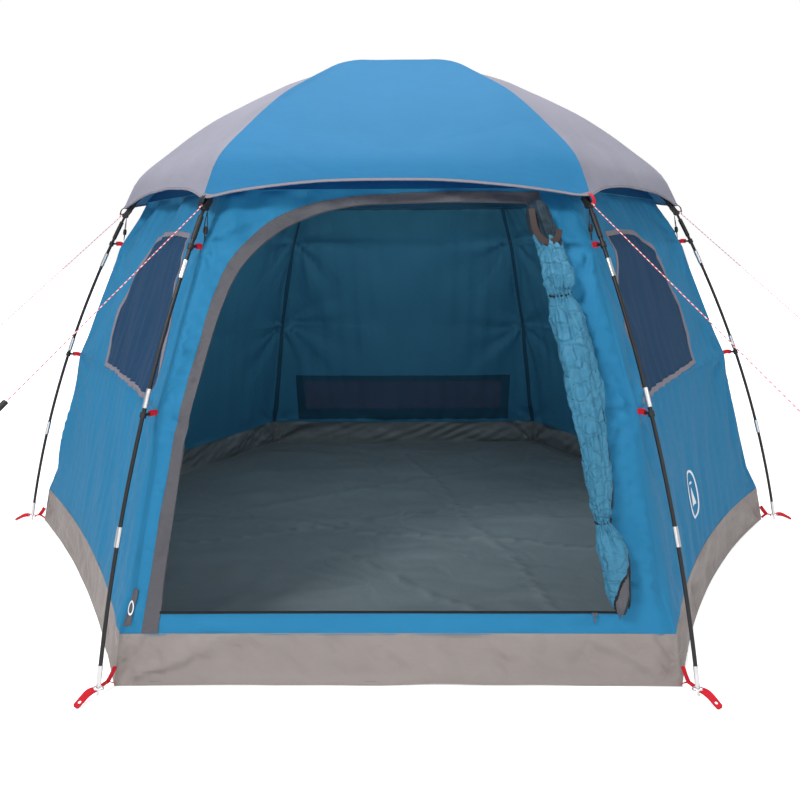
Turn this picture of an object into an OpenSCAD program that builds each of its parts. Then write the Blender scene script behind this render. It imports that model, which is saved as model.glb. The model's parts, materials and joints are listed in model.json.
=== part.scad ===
/* [Tent] */
// Radius of the circle the six pole feet stand on
foot_r = 1725; // [1650:25:1800]
// Height of the top of the fly above the ground
apex_z = 1990; // [1985:5:2010]
// Height of the grey tub wall
tub_z = 152; // [140:4:160]
// Thickness of the wall and fly fabric as modelled
fabric_t = 2.4; // [2:0.2:3]

/* [Frame] */
// Radius of the fibreglass rods
rod_r = 6; // [5:0.25:6.5]
// Radius at which the struts pivot on the hub
hub_pivot_r = 60; // [58:1:62]
// Height of the hub pivots
hub_pivot_z = 1936; // [1930:2:1940]
// Radius of the knee pivots
knee_r = 1190; // [1186:2:1196]
// Height of the knee pivots
knee_z = 1385; // [1380:2:1388]
// Outward bow of a roof strut at its middle
strut_bow = 124; // [118:2:128]
// Outward bow of a leg at its middle
leg_bow = 61; // [56:1:66]

/* [Fittings] */
// Radius of the hub and knee pivot pins
pin_r = 3; // [2.5:0.25:3.5]
// Gap between a pin and its bore
pin_gap = 0.05; // [0.02:0.01:0.08]
// Radius of the eyelet a ground peg goes through
peg_eyelet_r = 5; // [4:0.5:6]
// Radius of the guy lines
line_r = 1.5; // [1.25:0.25:2]
// Horizontal run of a guy line from its knee
line_run = 1670; // [1500:10:1750]

/* [Hidden] */
$fn = 32;
// Everything soft is drawn as shares of the foot circle
U = foot_r;
half = 30;
gap = 1;
seam = 0.6;
big = 4000;
foot_z = 3;
CORNERS = [0, 60, 120, 180, 240, 300];
// Wall line at a hexagon corner, from the tub up to the eave
wall_line = [
    [0.946 * U, tub_z + gap],
    [0.925 * U, 0.147 * U],
    [0.877 * U, 0.31 * U],
    [0.834 * U, 0.448 * U],
    [0.711 * U, 0.72 * U],
    [0.645 * U, 0.815 * U]
];
// Fly line over a strut, from the eave corner up to the top
fly_line = [
    [0.696 * U, 0.812 * U],
    [0.669 * U, 0.862 * U],
    [0.632 * U, 0.906 * U],
    [0.574 * U, 0.948 * U],
    [0.447 * U, 1.030 * U],
    [0.324 * U, 1.087 * U],
    [0.250 * U, 1.118 * U],
    [0.120 * U, apex_z - 0.007 * U],
    [0.060 * U, apex_z - 0.0015 * U],
    [0, apex_z]
];
fly_corner_z = 0.829 * U;
fly_middle_z = 0.849 * U;
fly_half_w = 0.345 * U;
roof_gap = 44;
roof_steps = 7;
roof_hole_r = 26;
// Door opening outline and the outer edge of its binding, across and up
door_in = [
    [-0.407, 0.096], [-0.403, 0.125], [-0.365, 0.407], [-0.321, 0.597], [-0.289, 0.680],
    [-0.240, 0.739], [-0.175, 0.780], [-0.074, 0.802], [0.236, 0.796],
    [0.262, 0.70], [0.292, 0.56], [0.322, 0.42], [0.345, 0.28], [0.374, 0.19], [0.378, 0.096]
];
door_out = [
    [-0.436, 0.096], [-0.385, 0.407], [-0.341, 0.597], [-0.315, 0.680], [-0.284, 0.726],
    [-0.242, 0.767], [-0.176, 0.800], [-0.110, 0.811], [-0.074, 0.812], [0.262, 0.808],
    [0.282, 0.70], [0.312, 0.56], [0.342, 0.42], [0.365, 0.28], [0.394, 0.19], [0.398, 0.096]
];
sill_z = 0.122;
sill_tape = 0.006;
// Rolled door: across, up, radius
door_rolls = [
    [0.252, 0.796, 0.016],
    [0.270, 0.734, 0.023],
    [0.285, 0.674, 0.025],
    [0.302, 0.589, 0.026],
    [0.318, 0.507, 0.029],
    [0.334, 0.409, 0.027],
    [0.347, 0.300, 0.018],
    [0.364, 0.230, 0.025],
    [0.378, 0.125, 0.014]
];
roll_ties = [[0.289, 0.653, 0.0265], [0.338, 0.377, 0.0258], [0.353, 0.276, 0.022]];
tie_t = 3;
tie_w = 22;
// Side window outline, measured from the middle of its panel towards the side corner
window_out = [
    [-0.330, 0.456], [-0.206, 0.757], [0.004, 0.760], [0.036, 0.749], [0.108, 0.702],
    [0.141, 0.660], [0.173, 0.592], [0.182, 0.521], [0.164, 0.456]
];
window_in = [
    [-0.318, 0.465], [-0.200, 0.748], [0.0, 0.750], [0.030, 0.740], [0.100, 0.694],
    [0.131, 0.655], [0.163, 0.588], [0.172, 0.521], [0.155, 0.465]
];
vent_out = [[-0.38, 0.098], [0.38, 0.098], [0.38, 0.266], [-0.38, 0.266]];
vent_in = [[-0.35, 0.138], [0.35, 0.138], [0.35, 0.246], [-0.35, 0.246]];
frame_t = 1.4;
mesh_t = 1;
tub_foot_r = 0.966 * U;
tub_top_r = 0.946 * U;
sheet_t = 3;
tub_line = [[tub_foot_r, sheet_t + seam], [tub_top_r, tub_z]];
// Bowed rods: chord, radius, half angle
function chord(a, b) = norm(b - a);
function bow_r(a, b, s) = (chord(a, b) * chord(a, b) / 4 + s * s) / (2 * s);
function bow_half(a, b, s) = asin(chord(a, b) / 2 / bow_r(a, b, s));
function bow_dir(a, b) = atan2(b[1] - a[1], b[0] - a[0]);
function bow_mid(a, b, s) =
    (a + b) / 2 + (bow_r(a, b, s) - s) * [sin(bow_dir(a, b)), -cos(bow_dir(a, b))];
function bow_angle(a, b, s, f) = bow_dir(a, b) + 90 + bow_half(a, b, s) * (1 - 2 * f);
function bow_point(a, b, s, f) =
    bow_mid(a, b, s) + bow_r(a, b, s) * [cos(bow_angle(a, b, s, f)), sin(bow_angle(a, b, s, f))];
hub_p = [hub_pivot_r, hub_pivot_z];
knee_p = [knee_r, knee_z];
foot_p = [foot_r, foot_z];
socket_r = rod_r + 3;
socket_l = 0.045;
eye_r = 8;
eye_t = 10;
fork_t = 5;
fork_gap = 0.5;
ear_r = 11;
neck_h = 17;
// Leg stations as shares of its length
ferrules = [[0.1236, 0.163], [0.399, 0.438], [0.6735, 0.713]];
tip_f = [0.942, 0.986];
clip_f = [0.092, 0.452];
clip_l = 0.011;
knee_socket_f = 0.075;
ferrule_r = rod_r + 1.9;
slip = 0.05;
rod_stop = 0.02;
tip_pin_r = 3.5;
clip_r = rod_r + 3.5;
clip_arm = 26;
tab_w = 16;
tab_t = 2;
// Foot ring and straps
ring_r = 15;
ring_wire = 2;
ring_z = 22;
strap_w = 20;
strap_t = 2.4;
tail_l = 56;
waist_l = foot_r - 0.966 * U - ring_r - 14;
roll_gap = 11;
// Guy lines: corner, turn away from the radial line, runner place
LINES = [[0, 0, 0.5], [60, -14, 0.5], [120, 14, 0.5], [180, 0, 0.5], [240, -14, 0.38], [300, 14, 0.5]];
line_top = [knee_r + 24, knee_z - 6];
line_loop_r = 20;
line_end_z = 2.6;
runner_l = 34;
runner_r = 7;
runner_slip = 0.1;
function line_drop() = line_top[1] - line_end_z;
function line_len() = norm([line_run, line_drop()]);
function line_tilt() = atan2(line_run, line_drop());
hub_r = 44;
hub_h = 20;
grip_r = 5;
grip_drop = 62;
grip_knob_r = 17;
slider_x = 0.335;

// A bowed bar of round section between shares f0 and f1 of its length
module bow_bar(a, b, s, r, f0, f1) {
    m = bow_mid(a, b, s);
    t0 = bow_angle(a, b, s, f1);
    t1 = bow_angle(a, b, s, f0);
    translate([m[0], 0, m[1]])
        rotate([90, 0, 0])
            rotate([0, 0, t0])
                rotate_extrude(angle = t1 - t0, $fn = 300)
                    translate([bow_r(a, b, s), 0])
                        circle(r = r, $fn = 20);
}
module bow_tube(a, b, s, r, r_in, f0, f1) {
    m = bow_mid(a, b, s);
    t0 = bow_angle(a, b, s, f1);
    t1 = bow_angle(a, b, s, f0);
    translate([m[0], 0, m[1]])
        rotate([90, 0, 0])
            rotate([0, 0, t0])
                rotate_extrude(angle = t1 - t0, $fn = 400)
                    translate([bow_r(a, b, s), 0])
                        difference() {
                            circle(r = r, $fn = 20);
                            circle(r = r_in, $fn = 20);
                        }
}
// A fork ear: a round boss with a straight neck turned to an angle
module ear(p, turn, l) {
    side_bar(p, ear_r, fork_t);
    translate([p[0], 0, p[1]])
        rotate([0, -turn, 0])
            translate([0, -fork_t / 2, -neck_h / 2])
                cube([l, fork_t, neck_h]);
}
module side_bar(p, r, w) {
    translate([p[0], 0, p[1]])
        rotate([90, 0, 0])
            cylinder(r = r, h = w, center = true);
}

// A bent strip across one side of the hexagon, cut to the mitre lines
function inward(line, t) = [for (i = [len(line) - 1 : -1 : 0]) [max(line[i][0] * cos(half) - t, 0), line[i][1]]];
function outward(line) = [for (p = line) [p[0] * cos(half), p[1]]];
module mitre(az, side_gap) {
    rotate([0, 0, az])
        translate([side_gap / sin(half), 0, -1])
            linear_extrude(apex_z + 100)
                polygon([[0, 0], [big, big * tan(half)], [big, -big * tan(half)]]);
}
module strip(az, outline) {
    rotate([0, 0, az])
        rotate([90, 0, 0])
            linear_extrude(big, center = true)
                polygon(outline);
}
module panel(az, line, t, side_gap) {
    intersection() {
        strip(az, concat(outward(line), inward(line, t)));
        mitre(az, side_gap);
    }
}
module punch(az, outline, flip) {
    rotate([0, 0, az])
        rotate([90, 0, 90])
            linear_extrude(big)
                polygon([for (p = outline) [flip * p[0] * U, p[1] * U]]);
}
module wall(az) {
    panel(az, wall_line, fabric_t, seam);
}

module ground_sheet() {
    color("Gainsboro")
    cylinder(r = tub_foot_r, h = sheet_t, $fn = 6);
    color("Gainsboro")
    for (az = CORNERS)
        panel(az + half, tub_line, sheet_t, seam);
}
module wall_front() {
    color("DodgerBlue")
    difference() {
        wall(270);
        punch(270, door_out, 1);
    }
    color("DodgerBlue")
    intersection() {
        wall(270);
        punch(270, [[-0.405, 0.05], [0.376, 0.05], [0.376, sill_z - sill_tape], [-0.4, sill_z - sill_tape]], 1);
    }
}
module wall_side_left() {
    color("DodgerBlue")
    difference() {
        wall(210);
        punch(210, window_out, -1);
    }
}
module wall_side_right() {
    color("DodgerBlue")
    difference() {
        wall(330);
        punch(330, window_out, 1);
    }
}
module walls_rear() {
    color("DodgerBlue") wall(30);
    color("DodgerBlue") wall(150);
    color("DodgerBlue")
    difference() {
        wall(90);
        punch(90, vent_out, 1);
    }
}
// A thinner strip in the middle of the wall's thickness
module lining(az, t) {
    side_t = (fabric_t - t) / 2 / cos(half);
    panel(az, [for (p = wall_line) [p[0] - side_t, p[1]]], t, seam);
}
module rim(az, out, in, flip) {
    difference() {
        intersection() {
            lining(az, frame_t);
            punch(az, out, flip);
        }
        punch(az, in, flip);
    }
}
module opening_frames() {
    color("Silver") rim(210, shrunk(window_out), window_in, -1);
    color("Silver") rim(330, shrunk(window_out), window_in, 1);
    color("SteelBlue") rim(90, shrunk(vent_out), vent_in, 1);
}
// The outline pulled in a little towards its own centre
function middle(o) = [for (k = [0, 1]) (max([for (p = o) p[k]]) + min([for (p = o) p[k]])) / 2];
function shrunk(o) = [for (p = o) middle(o) + (p - middle(o)) * (1 - 0.006)];
module pane(az, in, flip) {
    intersection() {
        lining(az, mesh_t);
        punch(az, shrunk(in), flip);
    }
}
module mesh_panels() {
    color("MidnightBlue") pane(210, window_in, -1);
    color("MidnightBlue") pane(330, window_in, 1);
    color("MidnightBlue") pane(90, vent_in, 1);
}
module door_binding() {
    color("DimGray")
    difference() {
        intersection() {
            lining(270, frame_t);
            punch(270, shrunk(door_out), 1);
        }
        punch(270, door_in, 1);
    }
    color("Black")
    intersection() {
        lining(270, frame_t);
        punch(270, [
            [-0.399, sill_z - sill_tape + 0.001],
            [0.372, sill_z - sill_tape + 0.001],
            [0.372, sill_z + sill_tape],
            [-0.399, sill_z + sill_tape]
        ], 1);
    }
}

// Distance of the front wall's outer face from the axis at a height
function wall_at(z) = lookup(z, [for (p = wall_line) [p[1], p[0] * cos(half)]]);
function roll_at(p, extra) = [p[0] * U, -wall_at(p[1] * U) - p[2] * U - extra, p[1] * U];
module door_roll() {
    color("SteelBlue")
    for (i = [0 : len(door_rolls) - 2])
        hull() {
            translate(roll_at(door_rolls[i], roll_gap)) sphere(r = door_rolls[i][2] * U, $fn = 14);
            translate(roll_at(door_rolls[i + 1], roll_gap)) sphere(r = door_rolls[i + 1][2] * U, $fn = 14);
        }
}
module door_ties() {
    color("DarkSlateGray")
    for (p = roll_ties)
        translate(roll_at(p, roll_gap))
            rotate([14, 0, 180])
                rotate_extrude(angle = 180)
                    translate([p[2] * U + tie_t, -tie_w / 2])
                        square([tie_t, tie_w]);
}

// Foot ring, its two short arms to the tub corner and the tail outside
module corner_straps() {
    color("Crimson")
    for (az = CORNERS)
        rotate([0, 0, az]) {
            translate([tub_foot_r + 3, 0, ring_z - strap_t / 2]) {
                linear_extrude(strap_t)
                    polygon([
                        [0, -8], [0, 8],
                        [waist_l, 8],
                        [waist_l, -8]
                    ]);
            }
            strap_arm(1);
            strap_arm(-1);
            difference() {
                translate([foot_r + ring_r + 4, -strap_w / 2, ring_z - strap_t / 2])
                    cube([tail_l, strap_w, strap_t]);
                translate([foot_r + ring_r + tail_l - 10, 0, 0])
                    cylinder(r = peg_eyelet_r, h = 100);
            }
        }
}
module strap_arm(side) {
    translate([tub_foot_r + 3, side * 8 - strap_t / 2, ring_z - strap_t / 2])
        rotate([0, -6, 0])
            cube([strap_t, strap_t, 44]);
}
module peg_rings() {
    color("Silver")
    for (az = CORNERS)
        rotate([0, 0, az])
            translate([foot_r - 4, 0, ring_z])
                rotate_extrude()
                    translate([ring_r, 0])
                        circle(r = ring_wire, $fn = 16);
}

// Red tabs from the wall corner to the clips on the leg
function corner_at(z) = lookup(z, [for (p = wall_line) [p[1], p[0]]]);
module pole_tabs() {
    color("Crimson")
    for (az = CORNERS)
        for (f = clip_f) {
            c = bow_point(knee_p, foot_p, leg_bow, f);
            inner = corner_at(c[1] - tab_w / 2) + 4;
            outer = c[0] - clip_arm - 3;
            rotate([0, 0, az])
                translate([inner, -tab_t / 2, c[1] - tab_w / 2])
                    cube([max(outer - inner, 2), tab_t, tab_w]);
        }
}
module knee_straps() {
    color("Black")
    for (az = CORNERS)
        rotate([0, 0, az])
            translate([corner_at(knee_z - 42) + 6, -4, knee_z - 42])
                cube([knee_r - corner_at(knee_z - 42) - 30, 8, 2]);
}
module guy_frame(i) {
    rotate([0, 0, LINES[i][0]])
        translate([line_top[0], 0, line_top[1]])
            rotate([0, 180 - line_tilt(), LINES[i][1]])
                children();
}
module guylines() {
    color("Salmon")
    for (i = [0 : len(LINES) - 1]) {
        guy_frame(i)
            cylinder(r = line_r, h = line_len(), $fn = 12);
        rotate([0, 0, LINES[i][0]])
            translate([line_top[0], 0, line_end_z])
                rotate([0, 0, LINES[i][1]])
                    translate([line_run + line_loop_r, 0, 0])
                        rotate_extrude($fn = 36)
                            translate([line_loop_r, 0])
                                circle(r = line_r, $fn = 12);
    }
}
module runner(i) {
    color("Black")
    guy_frame(i)
        translate([0, 0, line_len() * LINES[i][2]])
            difference() {
                union() {
                    cylinder(r = runner_r, h = runner_l, center = true, $fn = 24);
                    translate([0, -runner_r * 1.6, 0])
                        rotate([0, 0, 90])
                            cube([runner_r * 1.6, 6, runner_l], center = true);
                }
                cylinder(r = line_r + runner_slip, h = runner_l * 2, center = true, $fn = 16);
                translate([0, -runner_r * 1.7, 0])
                    cylinder(r = line_r + runner_slip, h = runner_l * 2, center = true, $fn = 16);
            }
}
module zip_slider() {
    color("Silver")
    translate([slider_x * U, -wall_at(sill_z * U) - 7, sill_z * U]) {
        cube([14, 6, 9], center = true);
        translate([-2, -3.5, -13])
            cube([7, 2, 26], center = true);
    }
}

// Hub under the top of the fly
module hub_base() {
    color("Black")
    difference() {
        union() {
            translate([0, 0, hub_pivot_z - hub_h / 2])
                cylinder(r = hub_r, h = hub_h, $fn = 48);
            translate([0, 0, hub_pivot_z])
                cylinder(r = 28, h = 26, $fn = 48);
            for (az = CORNERS)
                rotate([0, 0, az])
                    for (side = [-1, 1])
                        translate([0, side * (eye_t / 2 + fork_gap + fork_t / 2), 0])
                            ear(hub_p, 180, 30);
        }
        for (az = CORNERS)
            rotate([0, 0, az])
                side_bar(hub_p, pin_r + 0.02, 60);
        cylinder(r = grip_r + 0.1, h = big);
    }
}
module hub_pins() {
    color("Silver")
    for (az = CORNERS)
        rotate([0, 0, az])
            side_bar(hub_p, pin_r, eye_t + 2 * fork_gap + 2 * fork_t);
}
module hub_grip() {
    color("Black")
    union() {
        translate([0, 0, hub_pivot_z - grip_drop])
            cylinder(r = grip_r, h = grip_drop + 22);
        translate([0, 0, hub_pivot_z - grip_drop - 12])
            cylinder(r1 = grip_knob_r - 3, r2 = grip_knob_r, h = 12);
    }
}
function roof_line() = concat(
    [[0.645 * U, 0.815 * U + gap + fabric_t]],
    [for (k = [1 : roof_steps - 1])
        bow_point(hub_p, knee_p, strut_bow, 0.93 * (1 - k / roof_steps)) - [0, roof_gap]],
    [[roof_hole_r, hub_pivot_z - roof_gap + 2]]
);
module inner_roof() {
    color("SkyBlue")
    difference() {
        union() for (az = CORNERS)
            intersection() {
                strip(az + half, concat(
                    outward(roof_line()),
                    [for (i = [roof_steps : -1 : 0]) roof_line()[i] - [roof_line()[i][0] * (1 - cos(half)), fabric_t]]
                ));
                mitre(az + half, seam);
            }
        cylinder(r = roof_hole_r, h = big);
    }
}
module fly_panel(az) {
    arc_r = (fly_half_w * fly_half_w + pow(fly_middle_z - fly_corner_z, 2)) / (2 * (fly_middle_z - fly_corner_z));
    difference() {
        intersection() {
            strip(az, concat(
                outward(fly_line),
                [for (i = [len(fly_line) - 1 : -1 : 0]) outward(fly_line)[i] - [0, fabric_t * 1.3]]
            ));
            mitre(az, seam);
        }
        rotate([0, 0, az])
            translate([0, 0, fly_middle_z - arc_r])
                rotate([0, 90, 0])
                    cylinder(r = arc_r, h = big, $fn = 360);
    }
}
module fly_blue() {
    color("DodgerBlue") fly_panel(270);
    color("DodgerBlue") fly_panel(90);
}
module fly_grey() {
    color("Silver") for (az = [30, 150, 210, 330]) fly_panel(az);
}

// One bowed roof strut with its hub eye and knee fork
module strut_rod(az) {
    color("DimGray")
    rotate([0, 0, az])
        bow_bar(hub_p, knee_p, strut_bow, rod_r, rod_stop, 1 - rod_stop - 0.012);
}
module strut_ends(az) {
    k = bow_point(hub_p, knee_p, strut_bow, 1 - socket_l - 0.005);
    h = bow_point(hub_p, knee_p, strut_bow, socket_l);
    color("Black")
    rotate([0, 0, az]) {
        difference() {
            union() {
                side_bar(hub_p, eye_r, eye_t);
                bow_bar(hub_p, knee_p, strut_bow, 4.8, 0.002, rod_stop + 0.004);
                bow_bar(hub_p, knee_p, strut_bow, socket_r, rod_stop - 0.004, socket_l);
            }
            side_bar(hub_p, pin_r + pin_gap, 60);
            bow_bar(hub_p, knee_p, strut_bow, rod_r + slip, rod_stop - 0.0004, 0.5);
        }
        difference() {
            union() {
                bow_bar(hub_p, knee_p, strut_bow, socket_r, 1 - socket_l - 0.005, 1 - rod_stop);
                for (side = [-1, 1])
                    translate([0, side * (eye_t / 2 + fork_gap + fork_t / 2), 0])
                        ear(knee_p, bow_angle(hub_p, knee_p, strut_bow, 0.985) + 90, 34);
            }
            bow_bar(hub_p, knee_p, strut_bow, rod_r + slip, 0.5, 1 - rod_stop - 0.0116);
            side_bar(knee_p, ear_r + 1.2, eye_t + 2 * fork_gap);
        }
        side_bar(knee_p, pin_r, eye_t + 2 * fork_gap + fork_t);
    }
}

// One leg: black rods, steel sleeves and foot pin, plastic knee and clips
module leg_rods(az) {
    color("DimGray")
    rotate([0, 0, az]) {
        bow_bar(knee_p, foot_p, leg_bow, rod_r, 0.03, 0.143);
        bow_bar(knee_p, foot_p, leg_bow, rod_r, 0.1435, 0.4185);
        bow_bar(knee_p, foot_p, leg_bow, rod_r, 0.419, 0.693);
        bow_bar(knee_p, foot_p, leg_bow, rod_r, 0.6935, 0.962);
    }
}
module leg_steel(az) {
    color("Silver")
    rotate([0, 0, az]) {
        for (f = ferrules)
            bow_tube(knee_p, foot_p, leg_bow, ferrule_r, rod_r + slip, f[0], f[1]);
        difference() {
            union() {
                bow_bar(knee_p, foot_p, leg_bow, rod_r + 1.2, tip_f[0], tip_f[1]);
                bow_bar(knee_p, foot_p, leg_bow, tip_pin_r, tip_f[1] - 0.001, 1);
            }
            bow_bar(knee_p, foot_p, leg_bow, rod_r + slip, 0.9, 0.9625);
        }
    }
}
module leg_plastic(az) {
    color("Black")
    rotate([0, 0, az]) {
        difference() {
            union() {
                side_bar(knee_p, eye_r + 1, eye_t);
                bow_bar(knee_p, foot_p, leg_bow, 4.9, 0.001, 0.026);
                bow_bar(knee_p, foot_p, leg_bow, socket_r - 0.8, 0.021, knee_socket_f);
            }
            side_bar(knee_p, pin_r + pin_gap, 60);
            bow_bar(knee_p, foot_p, leg_bow, rod_r + slip, 0.0296, 0.3);
        }
        for (f = clip_f)
            clip(f);
    }
}
module clip(f) {
    c = bow_point(knee_p, foot_p, leg_bow, f);
    difference() {
        union() {
            bow_bar(knee_p, foot_p, leg_bow, clip_r, f - clip_l / 2, f + clip_l / 2);
            translate([c[0] - clip_arm, -2.5, c[1] - 4])
                cube([clip_arm - rod_r, 5, 8]);
        }
        bow_bar(knee_p, foot_p, leg_bow, rod_r + slip, f - 0.03, f + 0.03);
    }
}

ground_sheet();
wall_front();
wall_side_left();
wall_side_right();
walls_rear();
opening_frames();
mesh_panels();
door_binding();
door_roll();
door_ties();
corner_straps();
peg_rings();
pole_tabs();
knee_straps();
guylines();
zip_slider();
hub_base();
hub_pins();
hub_grip();
inner_roof();
fly_blue();
fly_grey();
runner(0);  // runner_1
runner(1);  // runner_2
runner(2);  // runner_3
runner(3);  // runner_4
runner(4);  // runner_5
runner(5);  // runner_6
strut_rod(0);  // strut_rod_1
strut_rod(60);  // strut_rod_2
strut_rod(120);  // strut_rod_3
strut_rod(180);  // strut_rod_4
strut_rod(240);  // strut_rod_5
strut_rod(300);  // strut_rod_6
strut_ends(0);  // strut_ends_1
strut_ends(60);  // strut_ends_2
strut_ends(120);  // strut_ends_3
strut_ends(180);  // strut_ends_4
strut_ends(240);  // strut_ends_5
strut_ends(300);  // strut_ends_6
leg_rods(0);  // leg_rods_1
leg_rods(60);  // leg_rods_2
leg_rods(120);  // leg_rods_3
leg_rods(180);  // leg_rods_4
leg_rods(240);  // leg_rods_5
leg_rods(300);  // leg_rods_6
leg_steel(0);  // leg_steel_1
leg_steel(60);  // leg_steel_2
leg_steel(120);  // leg_steel_3
leg_steel(180);  // leg_steel_4
leg_steel(240);  // leg_steel_5
leg_steel(300);  // leg_steel_6
leg_plastic(0);  // leg_plastic_1
leg_plastic(60);  // leg_plastic_2
leg_plastic(120);  // leg_plastic_3
leg_plastic(180);  // leg_plastic_4
leg_plastic(240);  // leg_plastic_5
leg_plastic(300);  // leg_plastic_6
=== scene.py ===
import json
import math
import bpy
import numpy as np
from mathutils import Matrix, Vector
from mathutils.geometry import delaunay_2d_cdt
from mathutils.kdtree import KDTree


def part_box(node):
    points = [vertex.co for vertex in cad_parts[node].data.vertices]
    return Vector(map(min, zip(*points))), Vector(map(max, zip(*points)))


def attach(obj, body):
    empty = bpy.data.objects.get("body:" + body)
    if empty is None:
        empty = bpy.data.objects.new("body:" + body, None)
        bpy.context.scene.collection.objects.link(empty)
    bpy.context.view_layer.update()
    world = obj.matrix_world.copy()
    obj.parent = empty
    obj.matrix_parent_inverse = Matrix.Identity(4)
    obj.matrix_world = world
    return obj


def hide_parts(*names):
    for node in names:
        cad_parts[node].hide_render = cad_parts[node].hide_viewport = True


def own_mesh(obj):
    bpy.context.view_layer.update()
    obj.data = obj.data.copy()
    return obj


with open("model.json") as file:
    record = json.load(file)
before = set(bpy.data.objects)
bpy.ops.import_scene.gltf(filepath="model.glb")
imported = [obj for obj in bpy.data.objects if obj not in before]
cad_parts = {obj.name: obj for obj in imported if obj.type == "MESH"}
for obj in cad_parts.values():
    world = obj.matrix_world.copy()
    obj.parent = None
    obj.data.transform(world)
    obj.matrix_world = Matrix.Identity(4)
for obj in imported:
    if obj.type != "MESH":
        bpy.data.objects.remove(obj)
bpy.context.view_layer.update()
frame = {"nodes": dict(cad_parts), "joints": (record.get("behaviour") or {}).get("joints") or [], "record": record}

# ---------------------------------------------------------------- sizes
# U is the radius of the foot circle, and most sizes are shares of it
FLOOR_SHARE, ROOF_SHARE = 0.966, 0.631
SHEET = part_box("ground_sheet")
U = SHEET[1].x / FLOOR_SHARE
FLOOR_R, ROOF_R = FLOOR_SHARE * U, ROOF_SHARE * U
TUB = SHEET[1].z
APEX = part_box("fly_blue")[1].z
WALL_TOP = 0.835 * U
CLIPS = (0.735 * U, 0.452 * U)  # heights at which the leg clips hold the wall corners
SILL = 0.120 * U
JOINTS = {j["name"]: j for j in frame["joints"]}
HUB_R, HUB_Z = JOINTS["strut_swing_1"]["pos_m"][0], JOINTS["strut_swing_1"]["pos_m"][2]
KNEE_R, KNEE_Z = JOINTS["knee_fold_1"]["pos_m"][0], JOINTS["knee_fold_1"]["pos_m"][2]
STRUT_BOW, LEG_BOW = 0.124, 0.061
C30, T30 = math.cos(math.radians(30)), math.tan(math.radians(30))
W = 0.80  # half the width of the flat domain that each wall is cut from
STRIPS = 4  # strips of cloth in one side; each is a piece of its own
STEP = 0.024
FLY_STEP = 0.026
FLOOR_STEP = 0.035
WALL_THICK, TUB_THICK, FLOOR_THICK = 0.0016, 0.0018, 0.002


def spline(points):
    """A smooth curve through (x, y) points with rising x."""
    xs, ys = (np.array(v, float) for v in zip(*points))
    h = np.diff(xs)
    d = np.diff(ys) / h
    m = np.zeros_like(xs)
    m[1:-1] = np.where(d[1:] * d[:-1] > 0, 2 * d[1:] * d[:-1] / (d[1:] + d[:-1] + 1e-12), 0)
    m[0], m[-1] = d[0], d[-1]

    def f(x):
        x = np.clip(x, xs[0], xs[-1])
        i = np.clip(np.searchsorted(xs, x) - 1, 0, len(xs) - 2)
        t = (x - xs[i]) / h[i]
        return ((1 + 2 * t) * (1 - t) ** 2 * ys[i] + t * (1 - t) ** 2 * h[i] * m[i]
                + t * t * (3 - 2 * t) * ys[i + 1] + t * t * (t - 1) * h[i] * m[i + 1])
    return f


# corner radius of the walls by height, and height of the fly by radius, in shares of U
WALL = [(0.0, FLOOR_SHARE), (TUB / U, 0.946), (0.147, 0.925), (0.31, 0.877), (0.448, 0.834), (0.72, 0.711),
        (0.815, 0.645), (0.835, ROOF_SHARE)]
TOP = APEX / U
FLY = [(0, TOP), (0.06, TOP - 0.0012), (0.12, TOP - 0.0068), (0.18, TOP - 0.0165), (0.25, 1.118),
       (0.324, 1.087), (0.378, 1.063), (0.447, 1.030), (0.512, 0.991), (0.574, 0.948), (0.632, 0.906),
       (0.652, 0.887), (0.669, 0.862), (0.684, 0.833), (0.696, 0.812)]
fly_height = spline([(r * U, z * U) for r, z in FLY])
wall_xs = np.array([z * U for z, r in WALL])
wall_rs = np.array([r * U for z, r in WALL])


def corner_r(z):
    return np.interp(z, wall_xs, wall_rs)


def unit(x):
    return np.clip(x, 0, 1)


def hump(d, width):
    """A smooth bump, 1 at d = 0."""
    return np.exp(-(d / width) ** 2)


def bowed(a, b, bow, f):
    """A point at share f of an arc from a to b, as (radius, height)."""
    a, b = np.array(a), np.array(b)
    L = np.linalg.norm(b - a)
    R = (L * L / 4 + bow * bow) / (2 * bow)
    half = math.asin(L / 2 / R)
    d = math.atan2(b[1] - a[1], b[0] - a[0])
    mid = (a + b) / 2 + (R - bow) * np.array([math.sin(d), -math.cos(d)])
    t = d + math.pi / 2 + half * (1 - 2 * f)
    return mid + R * np.array([math.cos(t), math.sin(t)])


# the ceiling hangs a little under the struts, from the wall's top to the hub
CEILING_DROP = 0.044
roof_pts = [(ROOF_R, WALL_TOP + 0.001)]
for k in range(1, 8):
    p = bowed((HUB_R, HUB_Z), (KNEE_R, KNEE_Z), STRUT_BOW, 0.93 * (1 - k / 8))
    roof_pts.append((p[0], p[1] - CEILING_DROP))
roof_pts.append((0.026, HUB_Z - 0.042))
roof_height = spline(sorted(roof_pts))


def waves(x, y, seed, scale, n=9):
    """Smooth irregular noise from a few plane waves, about -1 to 1."""
    g = np.random.default_rng(seed)
    s = np.zeros_like(x)
    for _ in range(n):
        a, k, ph = g.uniform(0, 2 * math.pi), g.uniform(0.5, 1.6) * 2 * math.pi / scale, g.uniform(0, 6.3)
        s += np.sin(k * (np.cos(a) * x + np.sin(a) * y) + ph)
    return s / math.sqrt(n)


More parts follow.
